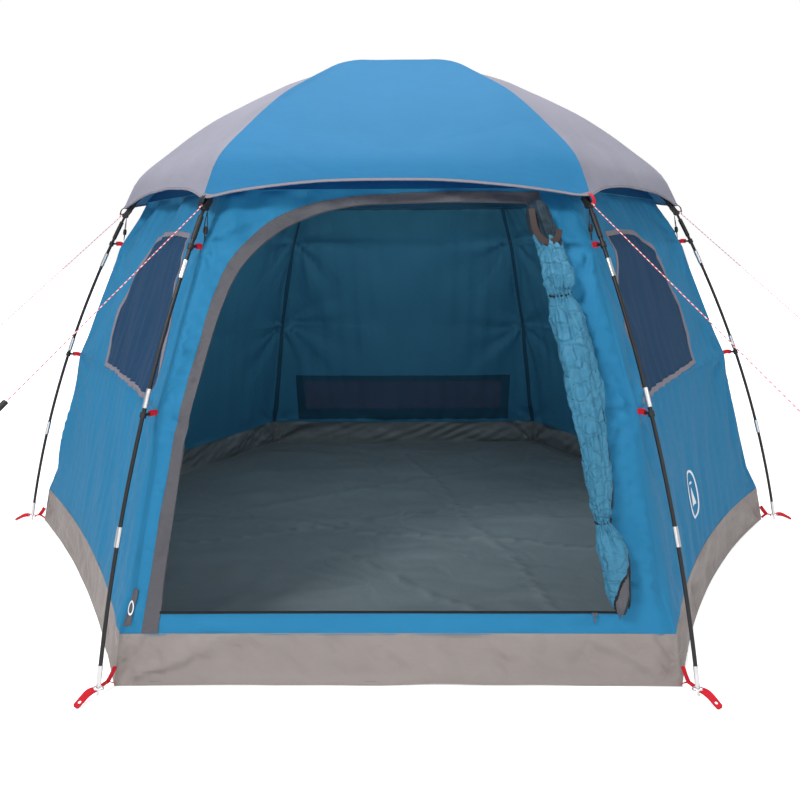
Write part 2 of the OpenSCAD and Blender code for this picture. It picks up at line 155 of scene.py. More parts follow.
def pucker(x, y, px, py, count, reach, size, seed):
    """Tension folds that fan out from a pulled point."""
    dx, dy = x - px, y - py
    d = np.hypot(dx, dy)
    ang = np.arctan2(dy, dx)
    g = np.random.default_rng(seed)
    s = np.zeros_like(x)
    for k in range(3):
        phase = ang * count * (0.7 + 0.45 * k) + g.uniform(0, 6.3) + 0.8 * np.sin(d * 9 + k)
        s += (0.45 * np.sin(phase) + 0.9 * (0.64 - np.abs(np.sin(phase / 2)))) / (k + 1.4)
    return size * s * np.exp(-d / reach) * (1 - np.exp(-d / (0.28 * reach)))


def az_frame(az):
    """The outward and the sideways direction at an azimuth."""
    a = math.radians(az)
    n = np.array([math.cos(a), math.sin(a), 0.0])
    t = np.array([-math.sin(a), math.cos(a), 0.0])
    return n, t


def place(az, out, across, up):
    """Points by their distance outward, sideways and up at an azimuth."""
    n, t = az_frame(az)
    z = np.array([0, 0, 1.0])
    return n[None, :] * out[:, None] + t[None, :] * across[:, None] + z[None, :] * up[:, None]


def circle(k):
    return np.linspace(0, 2 * math.pi, k, endpoint=False)


def oval(x, y, rx, ry, k):
    return [(x + rx * math.cos(q), y + ry * math.sin(q)) for q in circle(k)]


# ---------------------------------------------------------------- materials
def node(nt, kind, loc, **values):
    n = nt.nodes.new(kind)
    n.location = loc
    for k, v in values.items():
        if k in n.inputs:
            n.inputs[k].default_value = v
        else:
            setattr(n, k, v)
    return n


def ranged(nt, loc, to_min, to_max, from_min=0.0, from_max=1.0):
    """A node that stretches one range of values to another."""
    n = node(nt, "ShaderNodeMapRange", loc)
    values = {"To Min": to_min, "To Max": to_max, "From Min": from_min, "From Max": from_max}
    for key, value in values.items():
        n.inputs[key].default_value = value
    return n


def tint(nt, loc, color, vary, factor):
    """A colour that a noise makes lighter and darker."""
    mix = node(nt, "ShaderNodeMix", loc, data_type="RGBA", blend_type="MULTIPLY")
    mix.inputs[0].default_value = 1.0
    mix.inputs[6].default_value = color
    nt.links.new(factor, vary.inputs["Value"])
    nt.links.new(vary.outputs["Result"], mix.inputs[7])
    return mix.outputs[2]


def bump(nt, loc, strength, distance, height, under=None):
    n = node(nt, "ShaderNodeBump", loc, Strength=strength, Distance=distance)
    nt.links.new(height, n.inputs["Height"])
    if under:
        nt.links.new(under, n.inputs["Normal"])
    return n.outputs["Normal"]


def new_material(name):
    m = bpy.data.materials.new(name)
    m.use_nodes = True
    m.node_tree.nodes.clear()
    return m, m.node_tree, m.node_tree.links.new


def first(nt, kind):
    return next(n for n in nt.nodes if n.type == kind)


def srgb(r, g, b):
    """Linear colour of an 8-bit one."""
    parts = [c / 255 for c in (r, g, b)]
    return tuple(c / 12.92 if c <= 0.04045 else ((c + 0.055) / 1.055) ** 2.4 for c in parts) + (1,)


def fabric(name, color, rough=0.66, vary=0.05, crumple=0.25, weave=0.06, through=0.0, sheen=0.03,
           cell=5.0, alpha=1.0):
    """Coated cloth: uneven tint, creased facets, a weave, and some light coming through."""
    m, nt, link = new_material(name)
    out = node(nt, "ShaderNodeOutputMaterial", (900, 0))
    bs = node(nt, "ShaderNodeBsdfPrincipled", (500, 0), Roughness=rough, Alpha=alpha)
    bs.inputs["Sheen Weight"].default_value = sheen
    bs.inputs["Sheen Roughness"].default_value = 0.5
    bs.inputs["Specular IOR Level"].default_value = 0.22
    spot = node(nt, "ShaderNodeTexCoord", (-1400, 0)).outputs["Object"]
    broad = node(nt, "ShaderNodeTexNoise", (-1100, 200), Scale=2.3, Detail=5.0, Roughness=0.6)
    fine = node(nt, "ShaderNodeTexNoise", (-1100, -50), Scale=22.0, Detail=4.0, Roughness=0.6)
    long = node(nt, "ShaderNodeMapping", (-1250, -50), Scale=(0.55, 0.55, 1.5))
    link(spot, broad.inputs["Vector"])
    link(spot, long.inputs["Vector"])
    link(long.outputs["Vector"], fine.inputs["Vector"])
    spread = ranged(nt, (-400, 250), 1 - vary, 1 + vary * 0.4, 0.25, 0.75)
    tinted = tint(nt, (100, 250), color, spread, broad.outputs["Fac"])
    link(tinted, bs.inputs["Base Color"])
    # creased facets, shifted by the broad noise
    shift = node(nt, "ShaderNodeVectorMath", (-850, -250), operation="MULTIPLY_ADD")
    shift.inputs[1].default_value = (0.10, 0.10, 0.10)
    link(broad.outputs["Color"], shift.inputs[0])
    link(spot, shift.inputs[2])
    facets = node(nt, "ShaderNodeTexVoronoi", (-600, -250), feature="DISTANCE_TO_EDGE", Scale=cell)
    link(shift.outputs["Vector"], facets.inputs["Vector"])
    crease = ranged(nt, (-400, -250), 0.0, 1.0, 0.0, 0.16)
    crease.interpolation_type = "SMOOTHSTEP"
    link(facets.outputs["Distance"], crease.inputs["Value"])
    normal = bump(nt, (-100, -250), crumple, 0.006, crease.outputs["Result"])
    normal = bump(nt, (100, -250), crumple * 0.8, 0.012, fine.outputs["Fac"], normal)
    # threads both ways
    threads = node(nt, "ShaderNodeMath", (-350, -650), operation="MAXIMUM")
    for k, (direction, y) in enumerate((("Z", -550), ("X", -800))):
        wave = node(nt, "ShaderNodeTexWave", (-600, y), Scale=260.0, Distortion=0.4)
        wave.bands_direction = direction
        link(spot, wave.inputs["Vector"])
        link(wave.outputs["Fac"], threads.inputs[k])
    normal = bump(nt, (300, -250), weave, 0.001, threads.outputs[0], normal)
    link(normal, bs.inputs["Normal"])
    if not through:
        link(bs.outputs[0], out.inputs[0])
        return m
    glow = node(nt, "ShaderNodeBsdfTranslucent", (500, -400))
    link(tinted, glow.inputs["Color"])
    link(normal, glow.inputs["Normal"])
    both = node(nt, "ShaderNodeMixShader", (720, 0))
    both.inputs[0].default_value = through
    link(bs.outputs[0], both.inputs[1])
    link(glow.outputs[0], both.inputs[2])
    link(both.outputs[0], out.inputs[0])
    return m


def hard(name, color, rough=0.4, metal=0.0, vary=0.12, scale=60.0, stretch=(1, 1, 1)):
    """Metal, plastic or cord with a finely mottled surface."""
    m, nt, link = new_material(name)
    out = node(nt, "ShaderNodeOutputMaterial", (700, 0))
    bs = node(nt, "ShaderNodeBsdfPrincipled", (400, 0), Metallic=metal, Roughness=rough + 0.03)
    link(bs.outputs[0], out.inputs[0])
    spot = node(nt, "ShaderNodeTexCoord", (-900, 0))
    stretched = node(nt, "ShaderNodeMapping", (-700, 0), Scale=stretch)
    noise = node(nt, "ShaderNodeTexNoise", (-500, 0), Scale=scale, Detail=6.0, Roughness=0.6)
    link(spot.outputs["Object"], stretched.inputs["Vector"])
    link(stretched.outputs["Vector"], noise.inputs["Vector"])
    spread = ranged(nt, (-250, 200), 1 - vary, 1 + vary)
    link(tint(nt, (0, 200), color, spread, noise.outputs["Fac"]), bs.inputs["Base Color"])
    return m


def cord(name, color, fleck, pitch=0.011):
    """Braided cord with coloured flecks along it."""
    m = hard(name, color, rough=0.8, vary=0.15, scale=400.0)
    nt = m.node_tree
    wave = node(nt, "ShaderNodeTexWave", (-500, 400), Scale=0.314 / pitch, Distortion=1.5)
    wave.bands_direction = "Z"
    wave.inputs["Detail"].default_value = 1.0
    nt.links.new(first(nt, "TEX_COORD").outputs["Object"], wave.inputs["Vector"])
    colors = node(nt, "ShaderNodeValToRGB", (-250, 450))
    colors.color_ramp.interpolation = "CONSTANT"
    colors.color_ramp.elements[0].color = color
    colors.color_ramp.elements[1].position = 0.55
    colors.color_ramp.elements[1].color = fleck
    nt.links.new(wave.outputs["Fac"], colors.inputs["Fac"])
    nt.links.new(colors.outputs["Color"], first(nt, "MIX").inputs[6])
    return m


M = {
    "fly_blue": fabric("fly_blue_cloth", srgb(64, 154, 204), through=0.52, crumple=0.16),
    "fly_grey": fabric("fly_grey_cloth", srgb(196, 192, 203), through=0.52, crumple=0.16),
    "fly_hem": fabric("fly_hem_tape", srgb(130, 127, 138), crumple=0.1, weave=0.15),
    "fly_in": fabric("fly_inner_coating", srgb(96, 164, 206), through=0.52, crumple=0.1),
    "wall": fabric("wall_cloth", srgb(48, 144, 194), through=0.35, crumple=0.20),
    "wall_in": fabric("wall_inner_coating", srgb(68, 134, 160), through=0.38, crumple=0.14),
    "tub": fabric("tub_cloth", srgb(141, 133, 130), rough=0.55, crumple=0.32, cell=7.0),
    "tub_in": fabric("tub_inner_coating", srgb(110, 118, 121), rough=0.5, crumple=0.25, cell=7.0),
    "floor": fabric("floor_cloth", srgb(104, 116, 120), rough=0.5, crumple=0.3, cell=4.0, vary=0.10),
    "floor_under": fabric("floor_underside", srgb(150, 142, 138), rough=0.6, crumple=0.2),
    "roof": fabric("ceiling_cloth", srgb(44, 104, 134), through=0.3, crumple=0.12),
    "mesh": fabric("insect_mesh", srgb(30, 66, 100), rough=0.8, crumple=0.08, weave=0.5, alpha=0.93,
                   sheen=0.0),
    "frame": fabric("window_piping", srgb(124, 120, 132), crumple=0.08, weave=0.2),
    "vent_hem": fabric("vent_hem_cloth", srgb(30, 74, 96), crumple=0.1),
    "binding": fabric("door_binding_tape", srgb(88, 88, 94), crumple=0.7, weave=0.25, vary=0.16),
    "zip": fabric("zip_tape", srgb(22, 24, 28), crumple=0.05, weave=0.5),
    "roll": fabric("rolled_door_cloth", srgb(62, 128, 160), rough=0.5, through=0.12, crumple=0.7, cell=22.0),
    "roll_dark": fabric("rolled_door_mesh", srgb(30, 48, 60), crumple=0.3, cell=18.0),
    "loop": fabric("door_loop_tape", srgb(66, 54, 54), crumple=0.1, weave=0.5),
    "dark_web": fabric("dark_webbing", srgb(34, 36, 42), crumple=0.05, weave=0.6),
    "red_web": fabric("red_webbing", srgb(206, 24, 44), crumple=0.05, weave=0.6, vary=0.2),
    "print": fabric("white_print", srgb(228, 236, 242), crumple=0.05, weave=0.1),
    "rod": hard("wrapped_rod", (0.005, 0.005, 0.006, 1), rough=0.38, scale=40),
    "plastic": hard("moulded_nylon", (0.008, 0.008, 0.009, 1), rough=0.5, scale=180),
    "steel": hard("zinc_steel", (0.72, 0.72, 0.73, 1), rough=0.3, metal=1.0, scale=90, stretch=(1, 1, 0.15)),
    "slider": hard("dark_zip_metal", (0.10, 0.10, 0.11, 1), rough=0.4, metal=0.8, scale=200),
    "cord": cord("flecked_cord", srgb(232, 214, 216), srgb(206, 62, 78)),
    "cord_black": hard("elastic_cord", (0.014, 0.014, 0.015, 1), rough=0.7, scale=500),
}


def finish_piece(ob, nodename=None, body=None):
    """The body of one piece, and the CAD node that it hides."""
    if body:
        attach(ob, body)
    if nodename:
        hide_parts(nodename)
    return ob


def new_object(name, verts, faces, mats, index=None, loops=None, smooth=True):
    """A mesh object from its points and faces; index is the material of each face."""
    me = bpy.data.meshes.new(name)
    me.from_pydata(verts, [], faces)
    for m in mats:
        me.materials.append(m)
    if index is not None:
        me.polygons.foreach_set("material_index", np.array(index, np.int32))
    if smooth:
        me.polygons.foreach_set("use_smooth", np.ones(len(faces), bool))
    if loops is not None:
        me.normals_split_custom_set(loops.tolist())
    ob = bpy.data.objects.new(name, me)
    bpy.context.scene.collection.objects.link(ob)
    return ob


# ---------------------------------------------------------------- cloth pieces
def shell(name, P, N, tris, t, front, back=None):
    """A thin sheet with two faces and closed edges, shaded by the whole surface's normals."""
    tris = np.asarray(tris, int)
    used = np.unique(tris)
    remap = -np.ones(len(P), int)
    remap[used] = np.arange(len(used))
    tris = remap[tris]
    P, N = P[used], N[used]
    n = len(P)
    edges = {}
    for a, b, c in tris:
        for e in ((a, b), (b, c), (c, a)):
            edges[e] = 1
    rim = [(b, a, a + n, b + n) for (a, b) in edges if (b, a) not in edges]
    verts = np.vstack([P, P - N * t])
    faces = [tuple(f) for f in tris] + [(c + n, b + n, a + n) for a, b, c in tris] + rim
    k = len(tris)
    index = np.zeros(len(faces), np.int32)
    index[k:2 * k] = 1
    loops = np.empty((3 * 2 * k + 4 * len(rim), 3))
    loops[:3 * k] = N[tris.reshape(-1)]
    loops[3 * k:6 * k] = -N[tris[:, ::-1].reshape(-1)]
    if rim:
        q = verts[np.array(rim)]
        fn = np.cross(q[:, 2] - q[:, 0], q[:, 3] - q[:, 1])
        fn /= np.linalg.norm(fn, axis=1, keepdims=True) + 1e-12
        loops[6 * k:] = np.repeat(fn, 4, axis=0)
    faces = [tuple(int(i) for i in f) for f in faces]
    return new_object(name, verts.tolist(), faces, (front, back or front), index, loops)


def fuse(name, parts):
    """Several sheets or bars as one mesh, with their materials and shading kept."""
    verts, faces, mats, index, loops, base = [], [], [], [], [], 0
    for ob in parts:
        me = ob.data
        co = np.empty(3 * len(me.vertices))
        me.vertices.foreach_get("co", co)
        verts.append(co.reshape(-1, 3))
        nn = np.empty(3 * len(me.loops))
        me.corner_normals.foreach_get("vector", nn)
        loops.append(nn.reshape(-1, 3))
        for m in me.materials:
            if m not in mats:
                mats.append(m)
        for q in me.polygons:
            faces.append([v + base for v in q.vertices])
            index.append(mats.index(me.materials[q.material_index]))
        base += len(me.vertices)
        bpy.data.objects.remove(ob)
    return new_object(name, np.vstack(verts).tolist(), faces, mats, index, np.vstack(loops))


def normals(surf, a, b, h=0.004):
    """Unit normals of a surface at the given parameters."""
    du = surf(a + h, b) - surf(a - h, b)
    dv = surf(a, b + h) - surf(a, b - h)
    n = np.cross(du, dv)
    return n / (np.linalg.norm(n, axis=1, keepdims=True) + 1e-12)


def dense(points, step, closed=False):
    """The same line with points no further apart than step."""
    pts = list(points) + ([points[0]] if closed else [])
    out = []
    for p, q in zip(pts, pts[1:]):
        k = max(1, int(math.ceil(math.dist(p, q) / step)))
        for i in range(k):
            out.append((p[0] + (q[0] - p[0]) * i / k, p[1] + (q[1] - p[1]) * i / k))
    if not closed:
        out.append(tuple(pts[-1]))
    return out


def smooth_line(points, step):
    """A rounded line through the given points, evenly stepped."""
    p = np.array(points, float)
    out = []
    for i in range(len(p) - 1):
        p0, p1, p2, p3 = p[max(i - 1, 0)], p[i], p[i + 1], p[min(i + 2, len(p) - 1)]
        k = max(1, int(math.ceil(np.linalg.norm(p2 - p1) / step)))
        for j in range(k):
            t = j / k
            out.append(tuple(0.5 * (2 * p1 + (p2 - p0) * t + (2 * p0 - 5 * p1 + 4 * p2 - p3) * t * t
                                    + (3 * p1 - p0 - 3 * p2 + p3) * t ** 3)))
    out.append(tuple(p[-1]))
    return out


def triangulate(outline, lines, step):
    """Triangles over a convex outline that keep every given line as an edge."""
    pts, edges = [], []

    def add(line, closed):
        base = len(pts)
        pts.extend(line)
        for i in range(len(line) - 1):
            edges.append((base + i, base + i + 1))
        if closed:
            edges.append((base + len(line) - 1, base))
    add(dense(outline, step, True), True)
    for line, closed in lines:
        add(line, closed)
    kd = KDTree(len(pts))
    for i, p in enumerate(pts):
        kd.insert((p[0], p[1], 0), i)
    kd.balance()
    xs, ys = [p[0] for p in outline], [p[1] for p in outline]
    y, row = min(ys) + step / 2, 0
    while y < max(ys):
        x = min(xs) + (step / 2 if row % 2 else step)
        while x < max(xs):
            if kd.find((x, y, 0))[2] > step * 0.55 and inside((x, y), outline):
                pts.append((x, y))
            x += step
        y += step * 0.87
        row += 1
    v, e, f, *_ = delaunay_2d_cdt([Vector(p) for p in pts], edges, [], 0, 1e-5)
    V = np.array([(p.x, p.y) for p in v])
    F = np.array([t for t in f if len(t) == 3])
    c = V[F].mean(1)
    keep = inside_many(c, outline)
    F = F[keep]
    a = V[F]
    p, q = a[:, 1] - a[:, 0], a[:, 2] - a[:, 0]
    area = p[:, 0] * q[:, 1] - q[:, 0] * p[:, 1]
    F[area < 0] = F[area < 0][:, ::-1]
    F = F[np.abs(area) > 1e-10]
    return V, F


def inside_many(p, poly):
    """Which of the points lie inside a polygon."""
    p = np.asarray(p)
    q = np.array(poly)
    r = np.roll(q, -1, axis=0)
    res = np.zeros(len(p), bool)
    for (x1, y1), (x2, y2) in zip(q, r):
        spans = (y1 > p[:, 1]) != (y2 > p[:, 1])
        with np.errstate(divide="ignore", invalid="ignore"):
            xx = (x2 - x1) * (p[:, 1] - y1) / (y2 - y1 + 1e-30) + x1
        res ^= spans & (p[:, 0] < xx)
    return res


def inside(p, poly):
    return bool(inside_many([p], poly)[0])


def fold_in(ob):
    """Gives the piece its own copy of its mesh."""
    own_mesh(ob)


def gather(ob, nodename=None):
    """A piece that rides the ground, with its own copy of its mesh and its CAD node hidden."""
    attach(ob, "ground")
    fold_in(ob)
    finish_piece(ob, nodename)


# how far each side's foot draws in between its two pegs
BAY = {30: 0.030, 90: 0.020, 150: 0.030, 210: 0.042, 270: 0.004, 330: 0.068}


def soft_corner(u, hw, z):
    """Distance from the panel's middle and depth, with the corner rounded between the pulled points."""
    r = np.interp(z, (0.35 * U, 0.48 * U), (0.12, 0.045))
    r = r * unit((z - TUB) / 0.10) * unit((WALL_TOP - z) / 0.06)
    for zt in CLIPS:
        r = r * (1 - 0.85 * hump(z - zt, 0.07))
    r = np.maximum(r, 1e-4)
    reach = r * T30
    s = np.clip((1 - np.abs(u)) * hw, 0, None)
    th = math.radians(30) * unit(1 - s / reach)
    s2 = np.where(s < reach, reach - r * np.sin(th), s)
    return np.sign(u) * (hw - s2), r * (1 - np.cos(th))


def wall_surface(az, seed, door=False):
    """The curved surface of a wall: waves, and tension folds at the points where it is held."""
    def surf(a, z):
        u = a / W
        rc = corner_r(z)
        hw = rc / 2
        x = u * hw
        edge = unit(1 - u * u)
        pin = unit((1 - np.abs(u)) / 0.04) * unit((z - TUB) / 0.02)
        pin = pin * unit((WALL_TOP - z) / 0.012)
        sag = (0.006 if door else 0.016) * edge * unit((z - TUB) / 0.3)
        w = 0.0060 * waves(x, z * 0.5, seed, 0.5)
        w += 0.0038 * waves(x * 1.7, z * 0.35, seed + 3, 0.18)
        w += 0.0006 * waves(x * 2.4, z * 0.3, seed + 4, 0.08)
        for side in (-1, 1):
            for zt, size, reach in ((CLIPS[0], 0.026, 0.28), (CLIPS[1], 0.026, 0.32), (TUB, 0.022, 0.28)):
                w += pucker(x, z, side * corner_r(zt) / 2, zt, 8, reach, size, seed + int(zt * 10) + side)
            near = hump(u - side * 0.93, 0.05)
            w += 0.004 * near * np.sin(z * 8 + seed + side)
        w += 0.008 * hump(z - WALL_TOP, 0.07) * np.sin(x * 17 + seed) * edge
        if door:
            w += 0.008 * hump(u - 0.86, 0.1) * np.sin(z * 11 + 1.0)
            w += 0.007 * hump(u + 0.90, 0.1) * np.sin(z * 9 + x * 20)
            w += 0.0022 * hump(u - 0.90, 0.09) * np.sin(x * 210 + z * 6)
            w += 0.0020 * hump(u + 0.93, 0.07) * np.sin(x * 190 - z * 8)
            w *= 1 - 0.9 * hump(z - 0.122 * U, 0.035)
        w *= pin
        w -= 0.0012 * unit((TUB + 0.012 - z) / 0.012)
        across, inward = soft_corner(u, hw, z)
        bay = BAY[az % 360] * edge * np.exp(-np.clip(z - TUB, 0, None) / 0.42)
        bay = bay * unit((WALL_TOP - z) / 0.4)
        return place(az, rc * C30 - sag + w - inward - bay, across, z)
    return surf


def to_domain(points, flip=1):
    """Across and up in metres to the flat domain of a wall panel."""
    return [(flip * x / (float(corner_r(z)) / 2) * W, z) for x, z in points]


def strips_for(z0, z1, step):
    """The cutting lines between the strips of a wall."""
    cuts = [(-1 + 2 * k / STRIPS) * W for k in range(1, STRIPS)]
    return [(dense([(a, z0), (a, z1)], step), False) for a in cuts]


def which_strip(share):
    """The strip's number from the place across a side, -1 to 1."""
    return np.clip(((share + 1) / 2 * STRIPS).astype(int), 0, STRIPS - 1)


Z_BOT = TUB - 0.004
Z_TOP = WALL_TOP + 0.002


def patch(x0, x1, z0, z1):
    return [(x0, z0), (x1, z0), (x1, z1), (x0, z1)]


# strips along both corner seams and the top, taped on the inside
TAPED = [(patch(-W, -W * 0.982, Z_BOT, Z_TOP), "taped"),
         (patch(W * 0.982, W, Z_BOT, Z_TOP), "taped"),
         (patch(-W, W, WALL_TOP - 0.009, Z_TOP), "taped")]


def zone(name, slot, front, back=None, lift=0.0, own_node=None):
    """A patch of a wall: its cloth on both sides, and how far it stands proud."""
    return dict(name=name, slot=slot, front=front, back=back or front, lift=lift, own_node=own_node)


BLUE = zone("cloth", "wall_blue", "wall", "wall_in")


def build_wall(tag, zones, surf, node_name, z0=Z_BOT, z1=Z_TOP, thick=WALL_THICK, default=BLUE,
               step=STEP, loose=False):
    """Strips of one wall. Zones are (polygon, key or None for a hole), and later ones win."""
    lines = strips_for(z0, z1, step) + [(dense(p, step * 0.7, True), True) for p, key in zones]
    V, F = triangulate(patch(-W, W, z0, z1), lines, step)
    c = V[F].mean(1)
    kind = np.zeros(len(F), int)
    keys = ["_"]
    for poly, key in zones:
        hit = inside_many(c, poly)
        if key is None:
            kind[hit] = -1
        else:
            if key not in keys:
                keys.append(key)
            kind[hit] = keys.index(key)
    P = surf(V[:, 0], V[:, 1])
    N = normals(surf, V[:, 0], V[:, 1])
    strip = which_strip(c[:, 0] / W)
    groups = {}
    for ki, key in enumerate(keys):
        spec = default if ki == 0 else ZONES[key]
        for s in range(STRIPS):
            sel = (kind == ki) & (strip == s)
            if sel.sum() < 2:
                continue
            lift = spec["lift"]
            own = spec["own_node"] or node_name
            ob = shell(f"{tag}_{key}_{s}", P + N * lift, N, F[sel], thick + 2 * lift,
                       M[spec["front"]], M[spec["back"]])
            groups.setdefault((spec["slot"], own, s), []).append((spec["name"], ob))
    made = {}
    for (slot, own, s), parts in groups.items():
        name = f"{tag}_{parts[0][0]}_{s + 1}"
        ob = fuse(name, [o for _, o in parts]) if len(parts) > 1 else parts[0][1]
        ob.name = name
        made[s] = ob
        if not loose:
            gather(ob, own)
    return made


ZONES = {
    "frame": zone("piping", "frame_grey", "frame", lift=0.0022, own_node="opening_frames"),
    "vent_hem": zone("hem", "frame_grey", "vent_hem", lift=0.0015, own_node="opening_frames"),
    "mesh": zone("mesh", "mesh_navy", "mesh", own_node="mesh_panels"),
    "binding": zone("binding", "binding_grey", "binding", lift=0.0028, own_node="door_binding"),
    "zip": zone("sill_zip", "binding_grey", "zip", lift=0.003, own_node="door_binding"),
    "seam": zone("seam", "wall_blue", "wall", "wall_in", lift=0.0014),
    "taped": zone("taped_seam", "wall_blue", "wall", "vent_hem", lift=0.0006),
    "sill": zone("sill", "wall_blue", "wall", "wall_in", own_node="wall_front"),
}

# the door opening and its binding, across and up in shares of U
door_in = [(-0.407, 0.0885), (-0.403, 0.125), (-0.365, 0.407), (-0.321, 0.597), (-0.289, 0.680),
           (-0.240, 0.739), (-0.175, 0.780), (-0.074, 0.806), (0.08, 0.811), (0.236, 0.810)]
door_out = [(-0.436, 0.0885), (-0.425, 0.16), (-0.385, 0.407), (-0.341, 0.597), (-0.315, 0.680),
            (-0.278, 0.735), (-0.225, 0.782), (-0.150, 0.811), (-0.06, 0.824)]
right_edge = [(0.262, 0.829), (0.282, 0.70), (0.312, 0.56), (0.342, 0.42), (0.365, 0.28), (0.392, 0.19),
              (0.386, 0.13), (0.366, 0.0885)]
right_in = [(0.245, 0.80), (0.262, 0.70), (0.292, 0.56), (0.322, 0.42), (0.345, 0.28), (0.374, 0.19),
            (0.378, 0.0885)]


def scale(pts):
    return [(x * U, z * U) for x, z in pts]


def clampz(pts):
    return [(x, min(max(z, Z_BOT), Z_TOP)) for x, z in pts]


door_hole = smooth_line(scale(door_in), 0.02) + smooth_line(scale(right_in), 0.03)
door_rim = smooth_line(scale(door_out), 0.02) + scale([(0.02, 0.829), (0.14, 0.830)])
door_rim += smooth_line(scale(right_edge), 0.03)
ZIP_W = 0.006
door_hole_top = [(x, max(z, SILL + ZIP_W)) for x, z in door_hole]
front_zones = TAPED[:2] + [
    (to_domain(clampz(door_rim)), "binding"),
    (to_domain(clampz(door_hole)), "sill"),
    (to_domain(patch(-0.405 * U, 0.378 * U, SILL, SILL + ZIP_W)), "zip"),
    (to_domain(clampz(door_hole_top)), None),
]
build_wall("wall_front", front_zones, wall_surface(270, 11, True), "wall_front")

# outer and inner edge of the side windows' piping
win_out = [(-0.345, 0.452), (-0.283, 0.62), (-0.224, 0.757), (-0.10, 0.762), (0.004, 0.760), (0.036, 0.749),
           (0.108, 0.702), (0.141, 0.660), (0.173, 0.592), (0.182, 0.521), (0.164, 0.456)]
win_in = [(-0.333, 0.462), (-0.276, 0.62), (-0.218, 0.748), (-0.10, 0.753), (0.0, 0.750), (0.030, 0.740),
          (0.100, 0.694), (0.131, 0.655), (0.163, 0.588), (0.172, 0.521), (0.155, 0.465)]
SEAM_Z = 0.450 * U
MID_SEAM = (patch(-W, W, SEAM_Z - 0.006, SEAM_Z + 0.006), "seam")


def window(pts, flip):
    """A window outline on a side wall; the left one's rear part is a little narrower."""
    narrow = 1.0 if flip == 1 else 0.93
    return to_domain([(x * U * (narrow if x > 0 else 1), z * U) for x, z in pts], flip)


for az, tag, flip, nodename, seed in ((330, "wall_right", 1, "wall_side_right", 21),
                                      (210, "wall_left", -1, "wall_side_left", 31)):
    zones = [MID_SEAM, (window(win_out, flip), "frame"), (window(win_in, flip), "mesh")]
    build_wall(tag, TAPED + zones, wall_surface(az, seed), nodename)
for az, tag, seed in ((30, "wall_rear_right", 41), (150, "wall_rear_left", 51)):
    build_wall(tag, TAPED + [MID_SEAM], wall_surface(az, seed), "walls_rear")
vent = [(to_domain(patch(-0.38 * U, 0.38 * U, 0.0985 * U, 0.266 * U)), "vent_hem"),
        (to_domain(patch(-0.35 * U, 0.35 * U, 0.138 * U, 0.246 * U)), "mesh")]
build_wall("wall_back", TAPED + vent, wall_surface(90, 61), "walls_rear")


def tub_surface(az, seed):
    """The turned-up side of the floor sheet, pulled at its two pegged corners."""
    def surf(a, z):
        u = a / W
        rc = corner_r(z)
        hw = rc / 2
        x = u * hw
        edge = unit(1 - u * u)
        up = unit(z / TUB)
        middle = np.sin(math.pi * np.clip(up, 0.02, 0.98)) ** 0.5
        w = 0.010 * waves(x * 0.8, z, seed, 0.35) * np.sqrt(edge + 1e-9) * middle
        w += 0.004 * waves(x * 1.4 + z, z * 1.5, seed + 9, 0.13) * middle
        for side in (-1, 1):
            w += pucker(x, z, side * hw, 0.01, 10, 0.45, 0.032, seed + side)
        w -= 0.014 * hump(1 - np.abs(u), 0.10) * hump(z - 0.06, 0.05)
        w *= unit((1 - up) / 0.06) * unit((1 - np.abs(u)) / 0.02)
        d = rc * C30 + w * unit(z / 0.035) - BAY[az % 360] * edge
        lift = 0.0022 * (1 - up) * (1 + waves(x, x * 0, seed + 5, 0.4)) * edge
        return place(az, d, x, z + lift)
    return surf


GREY = zone("tub", "tub_grey", "tub", "tub_in")
TUB_FOOT = 0.0015
SIDES = [30 + 60 * s for s in range(6)]
TUB_WALLS = [build_wall(f"tub_{s + 1}", [], tub_surface(az, 70 + s), "ground_sheet",
                        TUB_FOOT, TUB, TUB_THICK, GREY, STEP * 0.7, loose=True) for s, az in enumerate(SIDES)]


A_FLOOR = FLOOR_R * C30 - 0.006  # the floor ends just inside the foot of the tub wall
# long folds in the floor: direction, offset and half width
RIDGES = ((0.25, 0.3, 0.018), (1.35, -0.2, 0.014), (2.1, 0.45, 0.02), (0.8, -0.5, 0.016), (1.9, 0.0, 0.012))


def floor_surface(az):
    """The floor with folds that fan in from the pegged corners."""
    n, t = az_frame(az)

    def surf(x, a):
        side = np.clip(x / np.maximum(a * T30, 1e-6), -1, 1)
        a2 = a - BAY[az % 360] * (1 - side ** 2) * (a / A_FLOOR) ** 2
        px = n[0] * a2 + t[0] * x
        py = n[1] * a2 + t[1] * x
        edge = unit((FLOOR_R * C30 - a) / 0.05)
        z = 0.005 + 0.008 * edge * np.clip(0.4 + 0.6 * waves(px, py, 5, 0.55), 0, 2)
        z += 0.005 * edge * np.clip(waves(px * 0.5, py, 6, 0.22), 0, 2)
        for k, (a0, off, wide) in enumerate(RIDGES):
            dist = px * math.cos(a0) + py * math.sin(a0) - off + 0.02 * np.sin(5 * (px - py) + k)
            z += 0.006 * edge * hump(dist, wide)
        for i in range(6):
            q = math.radians(60 * i)
            fan = pucker(px, py, FLOOR_R * math.cos(q), FLOOR_R * math.sin(q), 15, 0.75, 0.016, 90 + i)
            z += edge * np.clip(fan, 0, None)
        z += 0.006 * unit((a - A_FLOOR + 0.012) / 0.012)
        return np.stack([px, py, z], 1)
    return surf


